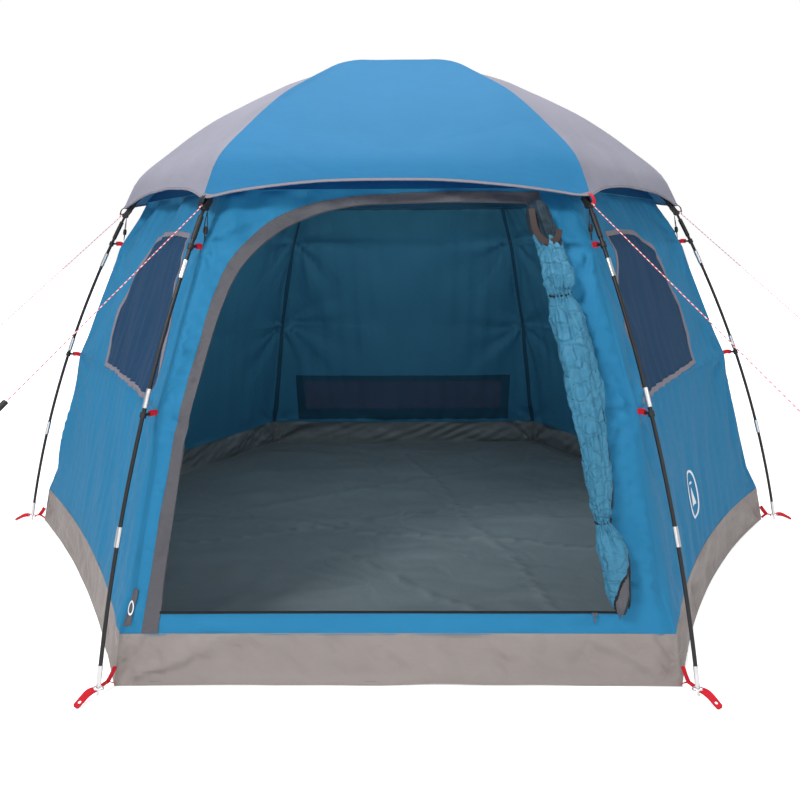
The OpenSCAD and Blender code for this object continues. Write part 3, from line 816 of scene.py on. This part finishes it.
for s, az in enumerate(SIDES):
    hw = A_FLOOR * T30
    rays = [(dense([(0, 0), ((-1 + 2 * k / STRIPS) * hw, A_FLOOR)], 0.05), False) for k in range(1, STRIPS)]
    V, F = triangulate([(0, 0), (hw, A_FLOOR), (-hw, A_FLOOR)], rays, FLOOR_STEP)
    surf = floor_surface(az)
    P = surf(V[:, 0], V[:, 1])
    N = normals(surf, V[:, 0], V[:, 1])
    if N[:, 2].mean() < 0:
        F = F[:, ::-1]
        N = -N
    c = V[F].mean(1)
    strip = which_strip(c[:, 0] / np.maximum(c[:, 1] * T30, 1e-9))
    for k in range(STRIPS):
        ob = shell(f"floor_sheet_{s}_{k}", P, N, F[strip == k], FLOOR_THICK, M["floor"], M["floor_under"])
        ob = fuse(f"floor_and_tub_{s + 1}_{k + 1}", [ob, TUB_WALLS[s][k]])
        gather(ob, "ground_sheet")


# ---------------------------------------------------------------- fly and ceiling
def pleat(ob, corner_az):
    """Rides the strut at a corner, with its own copy of its mesh."""
    i = int(round(corner_az / 60)) % 6 + 1
    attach(ob, f"strut_{i}")
    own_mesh(ob)


def fly_surface(az, seed, height, sag_size, amp):
    """A side of the fly or the ceiling: domed at the top, creased along the struts."""
    r_out = 0.692 * U if height is fly_height else ROOF_R

    def surf(x, a):
        a = np.maximum(a, 1e-6)
        u = np.clip(x / (a * T30), -1, 1)
        edge = 1 - u * u
        round_top = hump(a, 0.22 * U)
        r = a / C30 * (1 - round_top) + np.hypot(x, a) * round_top
        low = unit(r / r_out)
        z = height(r)
        z = z - sag_size * edge * np.sin(math.pi * low) ** 1.3 * unit(low / 0.45)
        free = edge * low * unit((1 - low) / 0.1)
        z = z + amp * 0.5 * waves(x, a * 0.7, seed, 0.4) * free
        z += amp * 0.22 * waves(x * 1.3, a * 0.5, seed + 7, 0.13) * free
        for side in (-1, 1):
            fade = unit((1 - np.abs(u)) / 0.03)
            if height is not fly_height:
                fade = fade * unit((1 - low) / 0.05)
            z += fade * pucker(x, a, side * 0.69 * U / 2, 0.69 * U * C30, 6, 0.34, amp * 2.6, seed + side)
            along = hump((np.abs(u) - 0.93) * a * T30, 0.03)
            z += 0.25 * amp * along * np.sin(a * 26 + side + seed) * low
        z += 0.004 * hump((1 - np.abs(u)) * a * T30, 0.010) * unit((low - 0.2) / 0.3)
        return place(az, a, x, z)
    return surf


EDGE_HALF = 0.346 * U


def fly_edge(x):
    """Apothem of the fly's scalloped lower edge at distance x from the panel's middle."""
    k = unit(np.abs(x) / EDGE_HALF)
    z = (0.849 - (0.849 - 0.818) * k ** 2.2) * U
    rs = np.linspace(0.6 * U, 0.696 * U, 300)
    zs = fly_height(rs)
    return np.interp(-z, -zs, rs) * C30


def roof_edge(x):
    return ROOF_R * C30


def plan_panel(az, tag, seed, height, front, back, nodename, sag_size, amp, a_out, a_in=0.0, hem=None,
               thick=WALL_THICK, step=FLY_STEP):
    """One sixth of the fly or the ceiling, in two halves that ride their struts."""
    hw = a_out(EDGE_HALF) * T30
    xs = np.linspace(-hw, hw, 41)
    aa = np.array([a_out(x) for x in xs])
    xs = np.clip(xs, -aa * T30, aa * T30)
    border = list(zip(xs, aa))
    inner = [(-a_in * T30, a_in), (a_in * T30, a_in)] if a_in else [(0.0, 1e-4)]
    outline = border[::-1] + inner
    lines = [(dense([(0, a_in or 2e-4), (0, float(aa[20]) - 1e-5)], step), False)]
    if hem:
        zone_line = [(x, a - hem) for x, a in border if abs(x) <= (a - hem) * T30 - 0.002]
        a0, a1 = zone_line[0][1], zone_line[-1][1]
        zone_line = [(-a0 * T30 + 0.0005, a0)] + zone_line + [(a1 * T30 - 0.0005, a1)]
        lines.append((zone_line, False))
    V, F = triangulate(outline, lines, step)
    surf = fly_surface(az, seed, height, sag_size, amp)
    P = surf(V[:, 0], V[:, 1])
    N = normals(surf, V[:, 0], V[:, 1])
    if N[:, 2].mean() < 0:
        N = -N
        F = F[:, ::-1]
    c = V[F].mean(1)
    is_hem = np.zeros(len(F), bool)
    if hem:
        is_hem = c[:, 1] > np.interp(c[:, 0], [p[0] for p in zone_line], [p[1] for p in zone_line])
    for side, name in ((-1, "a"), (1, "b")):
        parts = []
        for zone in ((False, True) if hem else (False,)):
            sel = (np.sign(c[:, 0]) == side) & (is_hem == zone)
            lift = 0.0014 if zone else 0.0
            parts.append(shell(f"{tag}_{zone}_{name}", P + N * lift, N, F[sel], thick + 2 * lift,
                               M["fly_hem"] if zone else M[front], M["fly_hem"] if zone else M[back]))
        ob = fuse(f"{tag}_{name}", parts)
        pleat(ob, (az + side * 30) % 360)
        finish_piece(ob, nodename)


for s, az in enumerate(SIDES):
    color = "fly_blue" if az in (90, 270) else "fly_grey"
    plan_panel(az, f"fly_{s + 1}", 100 + s, fly_height, color, "fly_in", color, 0.020, 0.006,
               fly_edge, hem=0.003)
    plan_panel(az, f"ceiling_{s + 1}", 120 + s, roof_height, "wall", "roof", "inner_roof",
               0.012, 0.003, roof_edge, a_in=0.026, step=FLY_STEP * 1.5)


# ---------------------------------------------------------------- swept parts
def tube(name, path, radius, sides, mat, squeeze=None, closed=False, caps=True):
    """A round bar along a path; radius may be a list, squeeze(i, angle) scales it."""
    p = np.array(path, float)
    n = len(p)
    tang = np.gradient(p, axis=0)
    tang /= np.linalg.norm(tang, axis=1, keepdims=True) + 1e-12
    ref = np.array([0, 0, 1.0]) if abs(tang[0][2]) < 0.9 else np.array([1.0, 0, 0])
    a = np.cross(ref, tang[0])
    a /= np.linalg.norm(a)
    verts = []
    th = circle(sides)
    rad = np.full(n, radius) if np.isscalar(radius) else np.array(radius)
    for i in range(n):
        a = a - tang[i] * (a @ tang[i])
        a /= np.linalg.norm(a) + 1e-12
        b = np.cross(tang[i], a)
        k = rad[i] * (np.ones(sides) if squeeze is None else squeeze(i, th))
        verts.append(p[i] + np.outer(np.cos(th) * k, a) + np.outer(np.sin(th) * k, b))
    verts = np.vstack(verts)
    faces = []
    for i in range(n - 1 if not closed else n):
        for j in range(sides):
            k = (j + 1) % sides
            i2 = (i + 1) % n
            faces.append((i * sides + j, i * sides + k, i2 * sides + k, i2 * sides + j))
    if caps and not closed:
        faces.append(tuple(range(sides))[::-1])
        faces.append(tuple((n - 1) * sides + j for j in range(sides)))
    return new_object(name, verts.tolist(), faces, [mat])


def ribbon(name, path, width, thick, mat, flat=(0, 0, 1)):
    """Flat webbing along a path with rounded edges; flat is the face direction."""
    p = np.array(path, float)
    n = len(p)
    tang = np.gradient(p, axis=0)
    tang /= np.linalg.norm(tang, axis=1, keepdims=True) + 1e-12
    f = np.array(flat, float)
    prof = [(-0.5, -0.3), (-0.46, -0.5), (0.46, -0.5), (0.5, -0.3)]
    prof += [(-x, -y) for x, y in prof]
    verts, faces = [], []
    for i in range(n):
        side = np.cross(f, tang[i])
        side /= np.linalg.norm(side) + 1e-12
        up = np.cross(tang[i], side)
        for w, h in prof:
            verts.append(p[i] + side * w * width + up * h * thick)
    k = len(prof)
    for i in range(n - 1):
        for j in range(k):
            j2 = (j + 1) % k
            faces.append((i * k + j, i * k + j2, (i + 1) * k + j2, (i + 1) * k + j))
    faces.append(tuple(range(k))[::-1])
    faces.append(tuple((n - 1) * k + j for j in range(k)))
    return new_object(name, [tuple(v) for v in verts], faces, [mat], smooth=False)


def polar(r, z, side, az):
    """One point by its radius, height and sideways shift at an azimuth."""
    n, t = az_frame(az)
    return n * r + t * side + np.array([0, 0, z])


def curve(points, k=24):
    p = np.array(points, float)
    s = np.linspace(0, 1, k)
    seg = np.r_[0, np.cumsum(np.linalg.norm(np.diff(p, axis=0), axis=1))]
    seg /= seg[-1]
    return np.stack([spline(list(zip(seg, p[:, c])))(s) for c in range(3)], 1)


CLIP_SHARES = (0.092, 0.452)  # where the two clips sit on a leg, from knee to foot
ELASTIC_Z = 0.742 * U
RING_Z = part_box("peg_rings")[0].z + 0.002
EYE_R = math.hypot(*next(m for m in frame["record"]["mounts"] if m["name"] == "peg_eyelet_1")["pos_m"][:2])


def tail_sheet(name, az, up):
    """One layer of the webbing tail outside a foot ring, with the hole for a peg."""
    l0, l1 = U + 0.008, EYE_R + 0.016
    hole = oval(EYE_R, 0, 0.005, 0.005, 20)
    half = 0.010
    outline = [(l0, -half), (l1 - 0.003, -half), (l1, -0.006), (l1, 0.006), (l1 - 0.003, half), (l0, half)]
    V, F = triangulate(outline, [(hole, True)], 0.006)
    F = F[~inside_many(V[F].mean(1), hole)]

    def surf(l, s):
        k = np.clip((l - l0) / (l1 - l0), 0, 1.2)
        turn = 0.55 * hump(k - 0.45, 0.5)
        roll_side = 1 if math.cos(math.radians(az)) > 0 else -1
        z = RING_Z + 0.002 + up - 0.016 * k ** 1.5 + 0.003 * np.sin(5 * k) + s * np.sin(turn) * roll_side
        return place(az, l, s * np.cos(turn), z)
    P = surf(V[:, 0], V[:, 1])
    N = normals(surf, V[:, 0], V[:, 1], 0.001)
    if N[:, 2].mean() < 0:
        N, F = -N, F[:, ::-1]
    return shell(name, P, N, F, 0.0018, M["red_web"])


for i in range(1, 7):
    az = 60 * (i - 1)
    body = f"leg_{i}"
    # red webbing: two arms from the tub corner, a waist to the ring and a folded tail outside
    knot = polar(0.985 * U - 0.012, RING_Z + 0.004, 0, az)
    red = []
    for side, z in ((1, 0.062), (-1, 0.010)):
        start = polar(FLOOR_R - z * 0.12, z, side * 0.004, az)
        bend = (start + knot) / 2 + np.array([0, 0, -0.002 * side])
        red.append(ribbon("arm", curve([start, bend, knot], 8), 0.016, 0.0016, M["red_web"],
                          flat=az_frame(az)[1] if side > 0 else (0, 0, 1)))
    waist = [knot, polar(U - 0.024, RING_Z + 0.003, 0, az), polar(U - 0.018, RING_Z + 0.001, 0, az)]
    red.append(ribbon("waist", curve(waist, 8), 0.015, 0.003, M["red_web"]))
    red += [tail_sheet("tail", az, 0.0026 * layer) for layer in (0, 1)]
    ob = fuse(f"corner_strap_{i}", red)
    finish_piece(ob, "corner_straps", body)
    # steel ring
    n, t = az_frame(az)
    c = polar(U - 0.004, RING_Z, 0, az)
    tilt = np.array([0, 0, 0.004])
    ring = [c + (n * x + t * y) * 0.015 + tilt * x for x, y in oval(0, 0, 1, 1, 40)]
    ob = tube(f"foot_ring_{i}", ring, 0.002, 12, M["steel"], closed=True)
    finish_piece(ob, "peg_rings", body)
    # red tabs to the two clips
    tabs = []
    for f in CLIP_SHARES:
        cpt = bowed((KNEE_R, KNEE_Z), (U, 0.003), LEG_BOW, f)
        r_in = float(corner_r(cpt[1])) - 0.002
        r_out = cpt[0] - 0.020
        zt = cpt[1]
        half_way = polar((r_in + r_out) / 2, zt + 0.001, 0.0015, az)
        path = curve([polar(r_in, zt - 0.004, 0, az), half_way, polar(r_out, zt, 0, az)], 10)
        tabs.append(ribbon("tab", path, 0.018, 0.0022, M["red_web"], flat=az_frame(az)[1]))
    ob = fuse(f"pole_tabs_{i}", tabs)
    finish_piece(ob, "pole_tabs", body)
    # elastic cord with a barrel toggle from the knee to the wall corner
    a = polar(KNEE_R - 0.006, KNEE_Z - 0.012, 0.006, az)
    b = polar(float(corner_r(ELASTIC_Z)) + 0.002, ELASTIC_Z, 0.004, az)
    cords = []
    for side in (-1, 1):
        mid = (a + b) / 2 + az_frame(az)[1] * side * 0.006
        cords.append(tube("elastic", curve([a, mid, b], 18), 0.0014, 8, M["cord_black"]))
    ob = fuse(f"elastic_{i}", cords)
    finish_piece(ob, "knee_straps", body)
    q = a + (b - a) * 0.62
    d = (b - a) / np.linalg.norm(b - a)
    barrel = [(-0.012, 0.0045), (-0.009, 0.0068), (0, 0.0075), (0.009, 0.0068), (0.012, 0.0045)]
    ob = tube(f"toggle_{i}", [q + d * at for at, _ in barrel], [wide for _, wide in barrel], 16, M["plastic"])
    finish_piece(ob, body=body)
    # short strap over the knee to the fly corner
    top = polar(0.688 * U, float(fly_height(0.688 * U)) - 0.002, 0, az)
    over = [top, polar(KNEE_R + 0.016, KNEE_Z + 0.022, 0, az), polar(KNEE_R + 0.022, KNEE_Z + 0.004, 0, az)]
    ob = ribbon(f"knee_strap_{i}", curve(over, 10), 0.012, 0.0018, M["red_web"] if i == 6 else M["dark_web"],
                flat=az_frame(az)[0])
    finish_piece(ob, "knee_straps", f"strut_{i}")

# guy lines
for i in range(1, 7):
    az = 60 * (i - 1)
    d = np.array(JOINTS[f"line_tension_{i}"]["axis"])
    start = polar(KNEE_R + 0.024, KNEE_Z - 0.006, 0, az)
    length = (start[2] - 0.0035) / -d[2]
    k = 140
    path = [start + d * length * q for q in np.linspace(0, 1, k)]
    ob = tube("line", path, 0.0015, 8, M["cord"])
    flat_d = np.array([d[0], d[1], 0]) / math.hypot(d[0], d[1])
    side = np.array([-flat_d[1], flat_d[0], 0])
    end = path[-1]
    eye = [end + flat_d * (0.02 - along) + side * aside for along, aside in oval(0, 0, 0.02, 0.011, 32)]
    loop = tube("loop", eye, 0.0016, 8, M["cord"], closed=True)
    up = [start, start + np.array([0, 0, 0.006]) - d * 0.012, polar(KNEE_R + 0.010, KNEE_Z + 0.004, 0, az)]
    knot = tube(f"guy_knot_{i}", curve(up, 12), 0.0024, 8, M["cord"])
    ob = fuse(f"guy_line_{i}", [ob, loop])
    for o in (ob, knot):
        finish_piece(o, "guylines", f"leg_{i}")
    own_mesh(ob)

# ---------------------------------------------------------------- rolled door
# across, height and radius of the roll, from the top down, in shares of U
ROLL = [(0.250, 0.812, 0.010), (0.252, 0.795, 0.019), (0.261, 0.760, 0.0215), (0.270, 0.734, 0.0195),
        (0.277, 0.705, 0.022), (0.285, 0.674, 0.0255), (0.287, 0.650, 0.0185), (0.294, 0.620, 0.024),
        (0.304, 0.580, 0.0265), (0.318, 0.507, 0.0285), (0.325, 0.467, 0.0275), (0.334, 0.415, 0.0245),
        (0.338, 0.385, 0.0235), (0.343, 0.340, 0.0235), (0.347, 0.305, 0.0195), (0.350, 0.276, 0.0130),
        (0.358, 0.245, 0.0235), (0.365, 0.222, 0.0265), (0.371, 0.182, 0.0225), (0.375, 0.150, 0.019),
        (0.380, 0.124, 0.010)]
TIES = [0.650, 0.276]
# where the roll is pulled together: height, reach and strength
GATHERS = [(0.650, 0.030, 1.0), (0.415, 0.034, 0.55), (0.276, 0.028, 1.1), (0.735, 0.02, 0.4)]


rz = np.array([z * U for x, z, r in ROLL])[::-1]
rx = spline([(z * U, x * U) for x, z, r in ROLL[::-1]])
rr = spline([(z * U, r * U) for x, z, r in ROLL[::-1]])
NR = 420
zz = np.linspace(rz[0], rz[-1], NR)
radii = rr(zz)


def front_at(z):
    return -(corner_r(z) * C30)


def roll_middle(z, r):
    """The middle of the roll at a height, where its radius is r."""
    return float(rx(z)), float(front_at(z) - r * 0.72 - 0.004)


path = [(*roll_middle(z, r), float(z)) for z, r in zip(zz, radii)]


def folds(i, th):
    """How far the roll's surface is pushed in or out round it at its i-th ring."""
    z = zz[i]
    k = np.ones_like(th)
    twist = 4.5 * z
    k += 0.10 * np.sin(2 * th + twist) + 0.07 * np.sin(5 * th - 1.7 * twist + 2 * math.sin(3 * z))
    k += 0.045 * np.sin(9 * th + 2.3 * twist + 1.5 * math.sin(7 * z)) + 0.022 * np.sin(17 * th - 4 * twist)
    for zt, reach, size in GATHERS:
        d = (z - zt * U) / (reach * U)
        near = size * math.exp(-d * d)
        k += 0.085 * near * np.sin(15 * th + 2.2 * d) + 0.06 * near * np.sin(23 * th - 3.0 * d + 1)
        k += 0.05 * near * np.sin(th * 3 + d * 9)
    k += 0.035 * np.sin(31 * z + 3 * np.cos(th)) + 0.040 * np.sin(58 * z + 2 * th + 2 * np.sin(2 * th))
    k += 0.030 * np.sin(120 * z + 3 * th + 2 * math.sin(17 * z))
    k += 0.016 * np.sin(210 * z - 5 * th + 2 * np.sin(3 * th))
    end = min((z - rz[0]) / 0.03, (rz[-1] - z) / 0.03, 1)
    return k * 0.97 * (0.55 + 0.45 * max(end, 0) ** 0.5)


roll = tube("rolled_door", path, radii, 112, M["roll"], squeeze=folds)
gather(roll, "door_roll")
# the mesh layer at the top, and the grey tape with its zip folded over the foot of the roll
me = roll.data
for key in ("roll_dark", "binding", "zip"):
    me.materials.append(M[key])
centres = np.empty(3 * len(me.polygons))
me.polygons.foreach_get("center", centres)
centres = centres.reshape(-1, 3)
share = (centres[:, 0] - rx(centres[:, 2])) / rr(centres[:, 2])
front = centres[:, 1] < front_at(centres[:, 2]) - rr(centres[:, 2]) * 0.6
zs = centres[:, 2] / U
slot_of = np.zeros(len(me.polygons), np.int32)
slot_of[zs > 0.742 + 0.010 * np.sin(share * 5)] = 1
edge_line = np.interp(zs, [0.120, 0.150, 0.195, 0.222], [-0.95, -0.60, 0.30, 1.1])
slot_of[(zs < 0.222) & (share > edge_line)] = 2
slot_of[(zs < 0.185) & (share > edge_line + 0.95)] = 1
slot_of[(zs < 0.219) & (np.abs(share - edge_line) < 0.10) & front] = 3
me.polygons.foreach_set("material_index", slot_of)
# the door's own edge tape showing along the side of the roll
edge_path = []
for z, r in zip(zz[8:-30:3], radii[8:-30:3]):
    cx, cy = roll_middle(z, r)
    edge_path.append((cx + r * 0.86, cy - r * 0.30, float(z)))
ob = ribbon("rolled_door_edge", edge_path, 0.016, 0.003, M["roll_dark"], flat=(0.9, -0.4, 0))
gather(ob, "door_roll")
for j, zt in enumerate(TIES):
    z = zt * U
    r = float(rr(z)) * 1.02
    cx, cy = roll_middle(z, rr(z))
    ring = [(cx + r * math.cos(q), cy + r * 0.98 * math.sin(q), z + 0.006 * math.sin(q + 1))
            for q in circle(48)]
    ob = tube(f"door_tie_{j + 1}", ring, 0.0028, 8, M["dark_web"], closed=True)
    gather(ob, "door_ties")
# brown loop hanging round the top of the roll
z = 0.748 * U
r = float(rr(z))
cx, cy = roll_middle(z, r)
swoop = curve([(cx - r * 1.25, cy + 0.004, z + 0.085),
               (cx - r * 1.12, cy - r * 0.55, z + 0.04),
               (cx - r * 0.62, cy - r * 1.02, z - 0.002),
               (cx + r * 0.15, cy - r * 1.20, z - 0.016),
               (cx + r * 0.85, cy - r * 1.02, z - 0.004),
               (cx + r * 1.05, cy - r * 0.75, z + 0.022)], 30)
ob = ribbon("door_top_loop", swoop, 0.019, 0.003, M["loop"], flat=(0, -1, 0.25))
gather(ob, "door_ties")

# zip slider at the open end of the sill
lo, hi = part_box("zip_slider")
c = (lo + hi) / 2
fz = hi.z - 0.0045
body_line = [(c.x + x, lo.y + y, fz) for x, y in ((-0.008, 0.004), (0, 0.003), (0.008, 0.004))]
pull_line = [(c.x, lo.y + y, fz + z) for y, z in ((0.001, 0.003), (0.0005, -0.01), (0.0012, -0.028))]
body = ribbon("zip_slider_body", body_line, 0.008, 0.005, M["slider"], flat=(0, -1, 0))
pull = ribbon("zip_slider_pull", pull_line, 0.0045, 0.0016, M["slider"], flat=(0, -1, 0))
for ob in (body, pull):
    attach(ob, "slider")
    fold_in(ob)
    finish_piece(ob, "zip_slider")


# generic mark on the right panel and blank tag on the left front corner
def decal(name, az, seed, outlines, mat, lift, door=False, holes=()):
    """Flat prints or tags that lie on a wall's own surface."""
    surf = wall_surface(az, seed, door)
    for k, outline in enumerate(outlines):
        dom = to_domain(outline)
        gaps = [to_domain(h) for h in holes]
        V, F = triangulate(dom, [(gap, True) for gap in gaps], 0.012)
        for gap in gaps:
            F = F[~inside_many(V[F].mean(1), gap)]
        P = surf(V[:, 0], V[:, 1])
        N = normals(surf, V[:, 0], V[:, 1])
        ob = shell(f"{name}_{k + 1}", P + N * lift, N, F, 0.0006, mat)
        gather(ob)


cx, cz, hx, hz = -0.070 * U, 0.212 * U, 0.026 * U, 0.050 * U


def blunt(c, power):
    return math.copysign(abs(c) ** power, c)


shield = [(cx + hx * blunt(x, 0.6), cz + hz * blunt(z, 0.75)) for x, z in oval(0, 0, 1, 1, 40)]
inner = [(cx + (x - cx) * 0.84, cz + (z - cz) * 0.90) for x, z in shield]
triangle = [(cx - hx * 0.55, cz - hz * 0.45), (cx + hx * 0.55, cz - hz * 0.45), (cx, cz + hz * 0.30)]
bar = patch(cx - hx * 0.3, cx + hx * 0.3, cz + hz * 0.42, cz + hz * 0.52)
decal("panel_mark_ring", 330, 21, [shield], M["print"], 0.0016, holes=[inner])
decal("panel_mark_wave", 330, 21, [triangle, bar], M["print"], 0.0016)
slanted = scale([(-0.4665, 0.100), (-0.4545, 0.100), (-0.4455, 0.158), (-0.4575, 0.158)])
decal("corner_tag", 270, 11, [slanted], M["binding"], 0.003, door=True)
tag = oval(-0.4565 * U, 0.1280 * U, 0.0060 * U, 0.0110 * U, 24)
tag_in = oval(-0.4565 * U, 0.1280 * U, 0.0041 * U, 0.0082 * U, 24)
decal("corner_tag_ring", 270, 11, [tag], M["print"], 0.0042, door=True, holes=[tag_in])

# ---------------------------------------------------------------- materials on the CAD pieces
for name, ob in frame["nodes"].items():
    if ob.hide_render:
        continue
    if name.startswith(("strut_rod", "leg_rods")):
        m, s = M["rod"], "black_rod"
    elif name.startswith("leg_steel") or name in ("hub_pins", "peg_rings"):
        m, s = M["steel"], "steel"
    else:
        m, s = M["plastic"], "black_plastic"
    ob.data.materials.clear()
    ob.data.materials.append(m)

# ---------------------------------------------------------------- floor, light, camera
bpy.context.scene.view_settings.view_transform = "Standard"
bpy.ops.mesh.primitive_plane_add(size=60, location=(0, 0, -0.0006))
ground = bpy.context.object
ground.name = "studio_floor"
floor_mat = hard("studio_floor", (0.90, 0.90, 0.90, 1), rough=0.9, vary=0.0)
nt = floor_mat.node_tree
link = nt.links.new


def seen_directly(nt, unseen, seen):
    """A strength that is different for the camera and for other rays."""
    ray = node(nt, "ShaderNodeLightPath", (-300, -300))
    level = ranged(nt, (-100, -300), unseen, seen)
    nt.links.new(ray.outputs["Is Camera Ray"], level.inputs["Value"])
    return level.outputs["Result"]


# the floor glows a little, and more with distance, so that it ends in the white of the sky
distance = node(nt, "ShaderNodeVectorMath", (-300, -500), operation="LENGTH")
away = ranged(nt, (-100, -500), 1.0, 2.2, 3.0, 8.0)
strength = node(nt, "ShaderNodeMath", (100, -400), operation="MULTIPLY")
link(first(nt, "TEX_COORD").outputs["Object"], distance.inputs[0])
link(distance.outputs["Value"], away.inputs["Value"])
link(away.outputs["Result"], strength.inputs[0])
link(seen_directly(nt, 0.10, 0.55), strength.inputs[1])
glow = first(nt, "BSDF_PRINCIPLED")
glow.inputs["Emission Color"].default_value = (1, 1, 1, 1)
link(strength.outputs["Value"], glow.inputs["Emission Strength"])
ground.data.materials.append(floor_mat)

world = bpy.data.worlds.new("studio")
bpy.context.scene.world = world
world.use_nodes = True
sky = world.node_tree.nodes["Background"]
sky.inputs[0].default_value = (1, 1, 1, 1)
world.node_tree.links.new(seen_directly(world.node_tree, 0.38, 1.0), sky.inputs[1])


def area(name, loc, target, size, power, color=(1, 1, 1)):
    """A soft rectangular light turned to its target."""
    light = bpy.data.lights.new(name, "AREA")
    light.shape = "RECTANGLE"
    light.size, light.size_y = size
    light.energy = power
    light.color = color
    ob = bpy.data.objects.new(name, light)
    ob.location = loc
    ob.rotation_euler = (Vector(target) - Vector(loc)).to_track_quat("-Z", "Y").to_euler()
    ob.visible_camera = False
    bpy.context.scene.collection.objects.link(ob)


area("key", (-3.2, -5.0, 6.0), (0, 0, 0.8), (1.6, 1.6), 300)
area("fill", (5.0, -5.0, 3.5), (0, 0, 0.8), (2, 2), 70)
area("top", (0, 0.5, 6.5), (0, 0, 0), (3.0, 3.0), 300)
area("door_fill", (0.1, -4.6, 1.5), (0, 0.5, 0.5), (2.5, 1.6), 22)
area("inside", (0, 0.0, 1.45), (0, 0.25, 0), (1.2, 1.2), 11, (0.86, 0.95, 1.0))

# the camera's place and direction, fitted to the photograph
yaw, pitch, tilt = -0.011, 0.1979, -0.0049
f = Vector((math.sin(yaw) * math.cos(pitch), math.cos(yaw) * math.cos(pitch), -math.sin(pitch)))
r0 = Vector((math.cos(yaw), -math.sin(yaw), 0))
u0 = r0.cross(f)
r = r0 * math.cos(tilt) + u0 * math.sin(tilt)
u = u0 * math.cos(tilt) - r0 * math.sin(tilt)
cam_data = bpy.data.cameras.new("camera")
cam_data.lens = 37.04
cam_data.sensor_width = 36
cam = bpy.data.objects.new("camera", cam_data)
eye = Vector((0.0213 * U, -2.1117 * U, 0.7525 * U))
cam.matrix_world = Matrix((*zip(r, u, -f, eye), (0, 0, 0, 1)))
bpy.context.scene.collection.objects.link(cam)
bpy.context.scene.camera = cam

bpy.context.view_layer.update()
